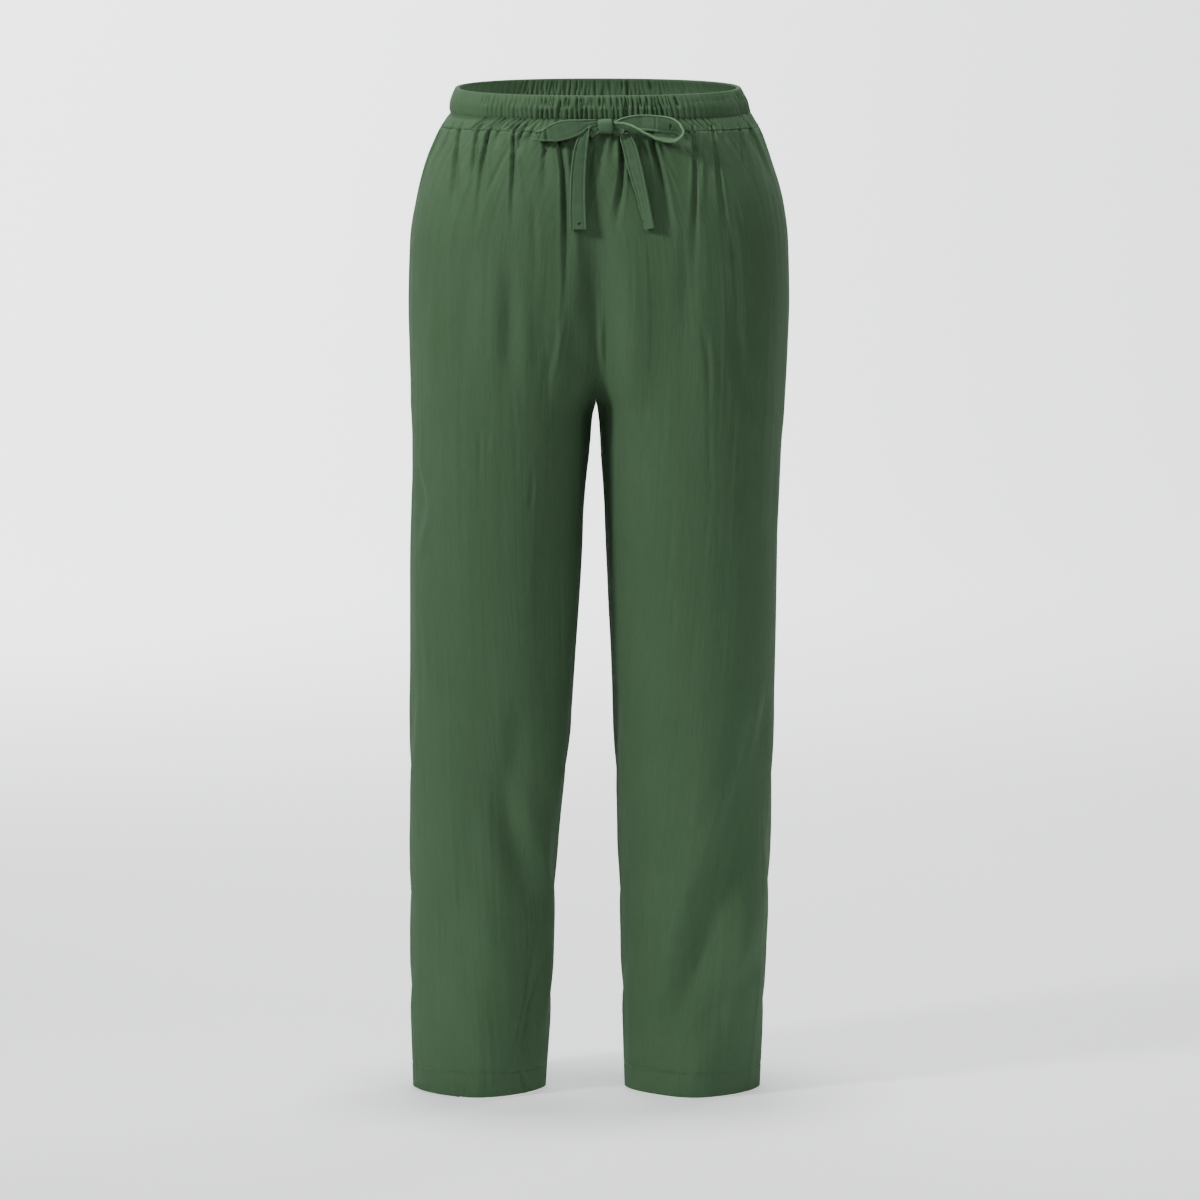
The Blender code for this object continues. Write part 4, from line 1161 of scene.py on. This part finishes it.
STRETCHES = [
    Stretch("loop_right", "object", "loose", 0.9, (
        (-0.9, 36.5, 6.6, 9), (-12, 36.7, 5.6, 12), (-26, 38.5, 4.6, 14), (-40, 41.5, 4.8, 13.5),
        (-53, 44.4, 6.4, 11, 0.1, -0.2, 1), (-60.2, 45.2, 8.8, 9, 0.3, -0.4, 0.9),
        (-60.2, 45.2, 12, 9, 0.3, -0.4, 0.9), (-52.5, 44.6, 14.2, 12, 0.15, -0.2, 1),
        (-41.5, 41.7, 14.8, 18.4), (-31, 39.2, 14.6, 19), (-20, 36.9, 14.2, 15.6, 0, 0.05, 1),
        (-11, 33.6, 13.4, 9.2, 0, 0.1, 1), (-1, 31.8, 12.5, 5, 0, 0.2, 1),
    ), (
        # ridges of the doubled end
        (-59.4, 44, 1.2, 4.5, 1.6, -0.35), (-56.2, 44.6, 1.1, 5, 1.7, -0.35), (-49.8, 44, 1.5, 6, 1.3, 0.15),
        (-52.8, 45.4, 1.7, 6, -1.5, 0.1),
    )),
    Stretch("loop_left", "object", "loose", 0.0, (
        (15.9, 36, 6.2, 9), (29, 33, 5.8, 13, 0, 0.15, 1), (45, 32.6, 5.4, 16, 0, 0.25, 1),
        (58, 33.6, 6, 16, 0, 0.15, 1), (70, 35.2, 7.6, 16, 0, -0.3, 0.95),
        (78.4, 38.4, 10.8, 16, 0.15, -0.72, 0.65), (81.4, 43, 13.4, 16, 0.1, -0.95, 0.25),
        (78, 47.4, 15, 16, 0.1, -1, 0), (69.5, 49.6, 15.4, 16, 0.1, -1, -0.2),
        (59.5, 48, 15.6, 16, 0.05, -1, -0.1), (48, 43.8, 15.8, 15.5, 0, -1, 0.05),
        (36, 39.2, 15.6, 13.5, 0, -0.9, 0.4), (25.5, 36, 14.4, 10, 0, -0.7, 0.7),
        (15.8, 34.6, 12.9, 7, 0, -0.5, 0.85),
    ), (
        # a join across the tape, and a sewn slit with its raised edge
        (56.3, 32.9, 0.8, 9, 0.8, 0), (71.1, 36.8, 2.2, 4.4, -1, 0), (71.1, 36.8, 0.9, 2.4, 3.2, 0),
    )),
    Stretch("tail_right", "bare", "hanging", 0.9, (
        (1, 34, 9.6, 4.6, 0.5, 0, 1), (-4, 35.6, 10.2, 5, 0.6, 0, 0.95),
        (-8.6, 39, 10.2, 6.6, 0.75, 0, 0.85), (-12.8, 44.8, 9.4, 9.6, 0.9, 0, 0.5),
        (-15.9, 54.4, 8.2, 12.8, 1, 0.15, 0.25), (-17.8, 66.5, 7.4, 14.4, 1, 0.2, 0.12),
        (-19.2, 82, 6.8, 15.2, 1, 0.15, 0.03), (-19.7, 100, 6, 15.6, 1, 0.1, 0),
        (-19.6, 120, 5.2, 16.2, 1, 0.05, 0), (-19.1, 136, 5, 16.6, 1, 0, 0.05),
    ), (
        # a pierced eyelet
        (-17.8, 130.7, 2.4, 2.4, -0.4, 0), (-17.8, 130.7, 1.1, 1.1, 3.4, 0),
    )),
    Stretch("tail_left", "bare", "hanging", 0.8, (
        (11, 36.8, 8.8, 4.4, -0.3, 0, 1), (16.6, 38.9, 9, 5.6, -0.4, 0, 1),
        (21, 41, 8.8, 8.4, -0.6, 0, 0.85), (25, 44.4, 8.4, 11.2, -0.75, 0, 0.7),
        (29, 50.8, 7.8, 13.4, -0.92, 0, 0.45), (31.8, 59.5, 7.2, 14.4, -1, 0, 0.3),
        (36, 76, 6.8, 14.6, -1, 0.1, 0.24), (39.7, 90, 6.5, 13.2, -1, 0.1, 0.22),
        (43, 103, 6.2, 12.2, -1, 0.2, 0.22), (46.6, 119.5, 6, 11.6, -1, 0.3, 0.22),
        (50, 135.5, 5.8, 11.2, -1, 0.4, 0.25),
    ), (
        # a join across the tape
        (44.4, 129.7, 0.8, 3, 0.7, -0.6),
    )),
]
UNDER_KNOT = Stretch("under_knot", "object", "loose", 0.0, (
    (2.5, 35.5, 8.6, 7.5, 0.6, 0.1, -0.8), (-1, 38.6, 8.6, 7.5, 0.6, 0.1, -0.8),
    (-4.2, 42.2, 7.6, 5.5, 0.65, 0.1, -0.75), (-7.2, 46, 6.8, 2.6, 0.7, 0.1, -0.7),
))


class Strip(NamedTuple):
    """A stretch of tape's mesh: points, faces, places on the flat tape, and its middle line."""

    points: Array
    faces: list[tuple[int, ...]]
    places: Array
    middles: Array


def smooth_through(rows: Array, steps: Sequence[int]) -> Array:
    """A Catmull-Rom curve through rows of numbers, with that many steps between each two."""
    padded = np.vstack([2 * rows[0] - rows[1], rows, 2 * rows[-1] - rows[-2]])
    out = []
    for place, count in enumerate(steps):
        before, here, after, later = padded[place : place + 4]
        second, third = 2 * before - 5 * here + 4 * after - later, 3 * here - before - 3 * after + later
        for t in np.arange(count) / count:
            out.append(0.5 * (2 * here + (after - before) * t + second * t**2 + third * t**3))
    return np.array(out + [rows[-1]])


@dataclass
class Drawstring:
    """A flat tape of folded linen, tied in a bow: a knot, two loops and two hanging ends."""

    finish: LinenFinish
    form: TrouserForm = FORM
    tape_wide: float = 16.0
    thick: float = 1.5
    step: float = 0.7
    columns: int = 22
    edges: tuple = (-0.5, -0.49, -0.475, -0.455, -0.43)
    edge_ends: float = 0.4
    pleat: float = 0.55
    pleat_turns: float = 4.0
    pleat_shift: float = 0.6
    waves: int = 5
    wave_long: Range = (9.0, 26.0)
    wave_phase: Range = (0.0, 6.3)
    wave_size: Range = (0.08, 0.2)
    rim_rise: float = 0.42
    rim_in: float = 1.0
    rim_wide: float = 0.8
    groove: float = 0.35
    groove_in: float = 2.6
    groove_wide: float = 0.7
    full_from: Range = (0.4, 0.8)
    knot_x: float = 7.5
    knot_depth: float = 36.0
    knot_off: float = 9.5
    knot_size: tuple = (15.0, 14.0, 14.6)
    knot_grid: tuple = (41, 72)
    knot_square: float = 2.5
    knot_swell: float = 6.0
    knot_folds: tuple = (0.02, 5.0, 0.8)
    knot_tilt: float = 0.06
    knot_taper: float = 0.1

    def route(self, table: Rows) -> Array:
        """The tape's sections along a table: middle, width and direction across."""
        rows = np.array([
            (x, self.form.front_y(x, depth) - off, -depth, wide, *(across or UP))
            for x, depth, off, wide, *across in table
        ])
        gaps = np.linalg.norm(np.diff(rows[:, :3], axis=0), axis=1)
        return smooth_through(rows, [max(1, round(gap / self.step)) for gap in gaps])

    def half_thick(self, share: Array, wide: float) -> Array:
        """A section's half thickness at places across it, from -0.5 to 0.5."""
        half = self.thick / 2
        within = (0.5 - np.abs(share)) * wide
        edge = np.clip(within / half, 0.0, 1.0)
        rise = self.rim_rise * bell((within - self.rim_in) / self.rim_wide)
        rise -= self.groove * bell((within - self.groove_in) / self.groove_wide)
        rise *= fade(wide, *(part * self.tape_wide for part in self.full_from))
        return (half + rise) * np.sqrt(1 - (1 - edge) ** 2)

    def strip(self, stretch: Stretch, seed: int) -> Strip:
        """The mesh of one stretch of tape.

        Args:
            stretch: Its route and marks.
            seed: A number of its own for its faint waves.

        Returns:
            Its points, faces and places on the flat tape, and its middle line.
        """
        sections = self.route(stretch.route)
        middles = sections[:, :3]
        along, way = unit(np.gradient(middles, axis=0)), sections[:, 4:7]
        across = unit(way - along * np.sum(way * along, axis=1, keepdims=True))
        through = np.cross(along, across)
        run = arc_along(middles[None])[0]
        edges, inner = np.array(self.edges), np.linspace(-self.edge_ends, self.edge_ends, self.columns - 1)
        share = np.concatenate([edges, inner, -edges[::-1]])
        draw = np.random.default_rng(seed)
        waves = [
            [draw.uniform(*span) for span in (self.wave_long, self.wave_phase, self.wave_size)]
            for _ in range(self.waves)
        ]
        rings, places = [], []
        for row, (middle, wide) in enumerate(zip(middles, sections[:, 3])):
            half = self.half_thick(share, wide)
            squeezed = self.pleat * (1 - wide / self.tape_wide)
            lift = squeezed * np.cos(self.pleat_turns * np.pi * share + self.pleat_shift)
            for length, phase, size in waves:
                lift += size * math.sin(run[row] / length * 2 * np.pi + phase) * (0.5 + share)
            level = middle + across[row] * (share * wide)[:, None]
            for x, depth, half_wide, half_long, sink, lean in stretch.marks:
                down = -level[:, 2] - depth
                off = (level[:, 0] - x - lean * down) / half_wide
                lift += sink * bell(off) * bell(down / half_long) * math.copysign(1.0, through[row][1])
            for sign, order in ((1.0, slice(None)), (-1.0, slice(-2, 0, -1))):
                rings.append((level + through[row] * (lift + sign * half)[:, None])[order])
                # these UV places set where the painted edge highlight lies across the tape
                from_edge = TAPE_EDGE + stretch.fresh + wide / 2 - np.abs(share * wide)[order]
                places.append(np.stack([sign * from_edge, np.full_like(from_edge, run[row])], axis=-1))
        faces = grid_faces(len(middles), len(share) * 2 - 2, True, True, Ends.CAPPED)
        return Strip(np.concatenate(rings), faces, np.concatenate(places), middles)

    def knot(self) -> bpy.types.Object:
        """The knot: tape wrapped once round the middle, with the turn of tape that shows below it."""
        wide, deep, high = self.knot_size
        x, depth = self.knot_x, self.knot_depth
        middle = np.array([x, self.form.front_y(x, depth) - self.knot_off, -depth])
        across, around = self.knot_grid
        u, turn = np.meshgrid(
            np.linspace(-1.0, 1.0, across), np.linspace(0.0, 2 * np.pi, around, endpoint=False), indexing="ij"
        )
        swell = (1 - np.abs(u) ** self.knot_swell) ** 0.5
        rise, waves, sway = self.knot_folds
        reach = (0.5 + 0.5 * swell) * (1 + rise * np.cos(waves * u + sway * np.sin(turn)) * swell)
        y, z = (
            np.sign(way) * np.abs(way) ** (2 / self.knot_square) * size / 2 * reach
            for way, size in ((np.cos(turn), deep), (np.sin(turn), high))
        )
        z *= 1 + self.knot_tilt * u
        points = np.stack([u * wide / 2 * (1 - self.knot_taper * np.sin(turn) * u), y, z], axis=-1) + middle
        faces = grid_faces(across, around, False, True, Ends.CAPPED)
        places = np.stack([2 * TAPE_EDGE + u * wide / 2, turn * high / 2], axis=-1)
        turned = self.strip(UNDER_KNOT, len(STRETCHES))
        faces += [tuple(u.size + corner for corner in face) for face in turned.faces]
        points = np.concatenate([points.reshape(-1, 3), turned.points])
        places = np.concatenate([places.reshape(-1, 2), turned.places])
        return make_object("linen_tape_knot", points, faces, self.finish.make(), places)


# ---- stitching ----


@dataclass
class StitchRows:
    """Lockstitch along sewn lines, set out by a node tree: each stitch is a short rounded bar of thread."""

    finish: ThreadFinish = ThreadFinish()
    pitch: float = 2.9
    stitch_long: float = 2.1
    thread: float = 0.5
    sides: int = 6

    def tree(self, material: bpy.types.Material) -> bpy.types.NodeTree:
        """The node tree: line to curve, even points, one stitch on each, made real."""
        tree = bpy.data.node_groups.new("Stitch row", "GeometryNodeTree")
        tree.interface.new_socket("Geometry", in_out="INPUT", socket_type="NodeSocketGeometry")
        for name in ("Pitch", "Stitch length", "Thread"):
            tree.interface.new_socket(name, in_out="INPUT", socket_type="NodeSocketFloat")
        tree.interface.new_socket("Geometry", in_out="OUTPUT", socket_type="NodeSocketGeometry")
        given = add_node(tree, "NodeGroupInput").outputs
        curve = add_node(tree, "GeometryNodeMeshToCurve", {"Mesh": given["Geometry"]})
        spots = add_node(tree, "GeometryNodeCurveToPoints", {
            "mode": "LENGTH", "Curve": curve.outputs[0], "Length": given["Pitch"],
        })
        facing = add_node(tree, "FunctionNodeAlignRotationToVector", {
            "axis": "Z", "Vector": spots.outputs["Tangent"],
        })
        bar = add_node(tree, "GeometryNodeMeshCylinder", {
            "fill_type": "TRIANGLE_FAN", "Vertices": self.sides, "Radius": given["Thread"],
            "Depth": given["Stitch length"],
        })
        row = add_node(tree, "GeometryNodeInstanceOnPoints", {
            "Points": spots.outputs["Points"], "Instance": bar.outputs["Mesh"], "Rotation": facing.outputs[0],
        })
        row = add_node(tree, "GeometryNodeRealizeInstances", {0: row.outputs[0]})
        row = add_node(tree, "GeometryNodeSetShadeSmooth", {0: row.outputs[0]})
        row = add_node(tree, "GeometryNodeSetMaterial", {0: row.outputs[0], "Material": material})
        add_node(tree, "NodeGroupOutput", {0: row.outputs[0]})
        return tree

    def build(self, name: str, lines: Sequence[tuple[Array, bool]]) -> bpy.types.Object:
        """Sews along lines.

        Args:
            name: The piece's name.
            lines: Each line's points, and whether it is closed.

        Returns:
            One object with every stitch.
        """
        edges, start = [], 0
        for line, closed in lines:
            end = start + len(line)
            edges += [(number, number + 1) for number in range(start, end - 1)]
            edges += [(end - 1, start)] if closed else []
            start = end
        points = np.concatenate([line for line, _closed in lines])
        made = place_object(name, new_mesh(name, points, edges, []))
        sewn = made.modifiers.new("Stitches", "NODES")
        sewn.node_group = tree = self.tree(self.finish.make())
        values = {"Pitch": self.pitch, "Stitch length": self.stitch_long, "Thread": self.thread / 2}
        for item in tree.interface.items_tree:
            if item.name in values:
                sewn[item.identifier] = values[item.name] * MM
        apply_modifiers(made)
        return made


# ---- studio ----


@dataclass(frozen=True)
class Studio:
    """A pale seamless paper sweep, soft lights and the camera, in metres.

    A lamp has a name, the places where it stands and that it faces, a size, a power in watts, and how wide
    its grid lets the light spread, in degrees. A lamp without a size is a bare point.
    """

    floor: float = -1.0035
    camera: tuple = (0.002, -6.0, 0.10)
    aim: tuple = (0.002, 0.0, -0.511)
    view_wide: float = 1.2
    sensor: float = 36.0
    paper: str = "#F3F4F5"
    paper_rough: float = 0.95
    paper_glow: float = 0.49
    surround: str = "#F2F4F6"
    surround_glow: float = 0.2
    sweep_wide: float = 16.0
    sweep_near: float = -0.8
    sweep_far: float = 5.2
    sweep_round: float = 1.6
    sweep_high: float = 5.0
    sweep_steps: int = 24
    lamps: tuple = (
        ("key", (-2.65, -1.8, 1.4), (0, 0, 0.3), 0.55, 21.6, 70),
        ("fill", (0.8, -4.6, 1.2), (0, 0, 0), 1.6, 7.4, 90),
        ("front", (-0.9, -4.6, 0.9), (0, 0, 0), 1.2, 5.2, 90),
        ("side", (1.3, -1.5, 1.1), (0, 0, 0), 0.8, 2.0, 80),
        ("top", (0, 0.16, 2.6), (0, 0, -1), 0.5, 85, 180),
        ("back", (2.2, 2.8, 1.0), (0, 0, -0.3), 0.8, 6.0, 70),
        ("backdrop", (-2, 3.6, 3.2), (-1.8, 6.8, 0.9), 2.6, 620, 180),
        ("inside", (-0.105, 0.01, -0.07), (0, 0, 1), 0, 0.22, 180),
    )

    def aimed(self, name: str, data: Any, place: Sequence[float], at: Sequence[float]) -> bpy.types.Object:
        """Stands a camera or light at a place, facing another."""
        made = place_object(name, data)
        made.location = Vector(place)
        made.rotation_euler = (Vector(at) - Vector(place)).to_track_quat("-Z", "Y").to_euler()
        return made

    def add_camera(self) -> None:
        """Adds the camera, whose view is view_wide across at the garment."""
        data = bpy.data.cameras.new("camera")
        data.sensor_width = self.sensor
        data.lens = self.sensor * (Vector(self.aim) - Vector(self.camera)).length / self.view_wide
        bpy.context.scene.camera = self.aimed("camera", data, self.camera, self.aim)

    def add_sweep(self) -> None:
        """Adds the floor that curves up into the backdrop, of matt, slightly cool background paper."""
        angles = np.radians(np.linspace(0.0, 90.0, self.sweep_steps))
        far, bend, half = self.sweep_far, self.sweep_round, self.sweep_wide / 2
        line = [(self.sweep_near, self.floor)]
        line += [(far + bend * math.sin(a), self.floor + bend * (1 - math.cos(a))) for a in angles]
        line.append((far + bend, self.sweep_high))
        points = np.array([(x, y, z) for y, z in line for x in (-half, half)]) / MM
        material, tree, shader = new_material("seamless_paper")
        glow = {"Emission Color": linear(self.paper), "Emission Strength": self.paper_glow}
        set_node(tree, shader, {"Base Color": linear(self.paper), "Roughness": self.paper_rough, **glow})
        make_object("paper_sweep", points, grid_faces(len(line), 2, False), material)

    def add_lights(self) -> None:
        """Adds the lamps and an even pale surround."""
        for name, place, at, size, power, spread in self.lamps:
            data = bpy.data.lights.new(name, "AREA" if size else "POINT")
            data.energy = power
            if size:
                data.size, data.spread = size, math.radians(spread)
            else:
                data.shadow_soft_size = 0.0
            self.aimed(name, data, place, at)
        world = bpy.context.scene.world = bpy.data.worlds.new("surround")
        world.use_nodes = True
        tree = world.node_tree
        glow = {"Color": linear(self.surround), "Strength": self.surround_glow}
        set_node(tree, tree.nodes["Background"], glow)

    def build(self) -> None:
        """Adds the camera, the paper and the lights."""
        self.add_camera()
        self.add_sweep()
        self.add_lights()


# ---- putting it together ----


LINEN = LinenFinish("garment_washed_linen", base="#3F573E", pale="#435A42", dark="#3A513C")
# The tape's paler edge colour is a painted highlight, standing in for the light caught by its rims.
TAPE = LinenFinish(
    "pressed_linen_tape", base="#425A42", pale="#465D45", dark="#3D543F", edge_highlight="#5E7A5A", crumple_bump=0.0002
)
# The sewn line that ends the channel, by distance round the waistband and depth.
CHANNEL_END = [
    (90, 24.5), (87, 24.5), (85.4, 25.6), (84.6, 27.6), (84.4, 30.4), (84.4, 33.2), (85, 35.4), (87, 36.6),
    (90, 36.6),
]
TOP_STITCH_END = 380.0
THREAD_LIFT = 0.1


class Cut(NamedTuple):
    """The flat piece of cloth that a piece of the garment is cut from, in metres and square metres."""

    wide: float
    long: float
    area: Optional[float]

    def declare(self, piece: bpy.types.Object, rests_on: Sequence[str] = ()) -> None:
        """Does nothing: the cut of the finished piece is not stated."""


CUTS = {"front": Cut(0.315, 1.01, 0.255), "back": Cut(0.355, 1.02, 0.29), "waistband": Cut(0.9, 0.041, None)}


def dress(piece: bpy.types.Object, nodes: Sequence[str]) -> None:
    """Fixes a piece to the body, stands it for its solids and logs it."""
    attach(piece, "root")
    if nodes:
        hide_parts(*nodes)
    area = sum(face.area for face in piece.data.polygons) / 2
    log.info("%s: %d faces, %.3f square metres on each side", piece.name, len(piece.data.polygons), area)


def build_drawstring(drawstring: Drawstring) -> None:
    """Builds the bow: its knot and its four stretches of free tape."""
    dress(drawstring.knot(), ["drawstring_knot"])
    for seed, stretch in enumerate(STRETCHES):
        strip = drawstring.strip(stretch, seed)
        name = "linen_tape_" + stretch.name
        piece = make_object(name, strip.points, strip.faces, drawstring.finish.make(), strip.places)
        dress(piece, ["drawstring_" + stretch.name])


def build_cloth() -> None:
    panels, band = LegPanels(LINEN), Waistband(LINEN)
    panels.lay_out()
    for side in Side:
        for piece, face in zip(panels.build(side), ("front", "back")):
            dress(piece, [f"{face}_panel_{side.hand}"])
            CUTS[face].declare(piece, ["waistband"])
    strip = band.build()
    dress(strip, ["waistband"])
    CUTS["waistband"].declare(strip)
    lines = [(panels.hem_line(side, THREAD_LIFT), True) for side in Side]
    for depth in (band.form.casing_deep, band.lower_stitch):
        lines.append((band.sewn_line(depth, THREAD_LIFT), True))
    top = band.sewn_line(band.top_stitch_below, THREAD_LIFT, band.top_stitch_from, TOP_STITCH_END)
    lines += [(top, False), (band.sewn_path(CHANNEL_END, THREAD_LIFT), False)]
    dress(StitchRows().build("stitching", lines), [])


def main() -> None:
    """Builds the studio and every piece of the garment."""
    logging.basicConfig(level=logging.INFO, format="%(name)s: %(message)s")
    Studio().build()
    build_drawstring(Drawstring(TAPE))
    build_cloth()


if __name__ == "__main__":
    main()
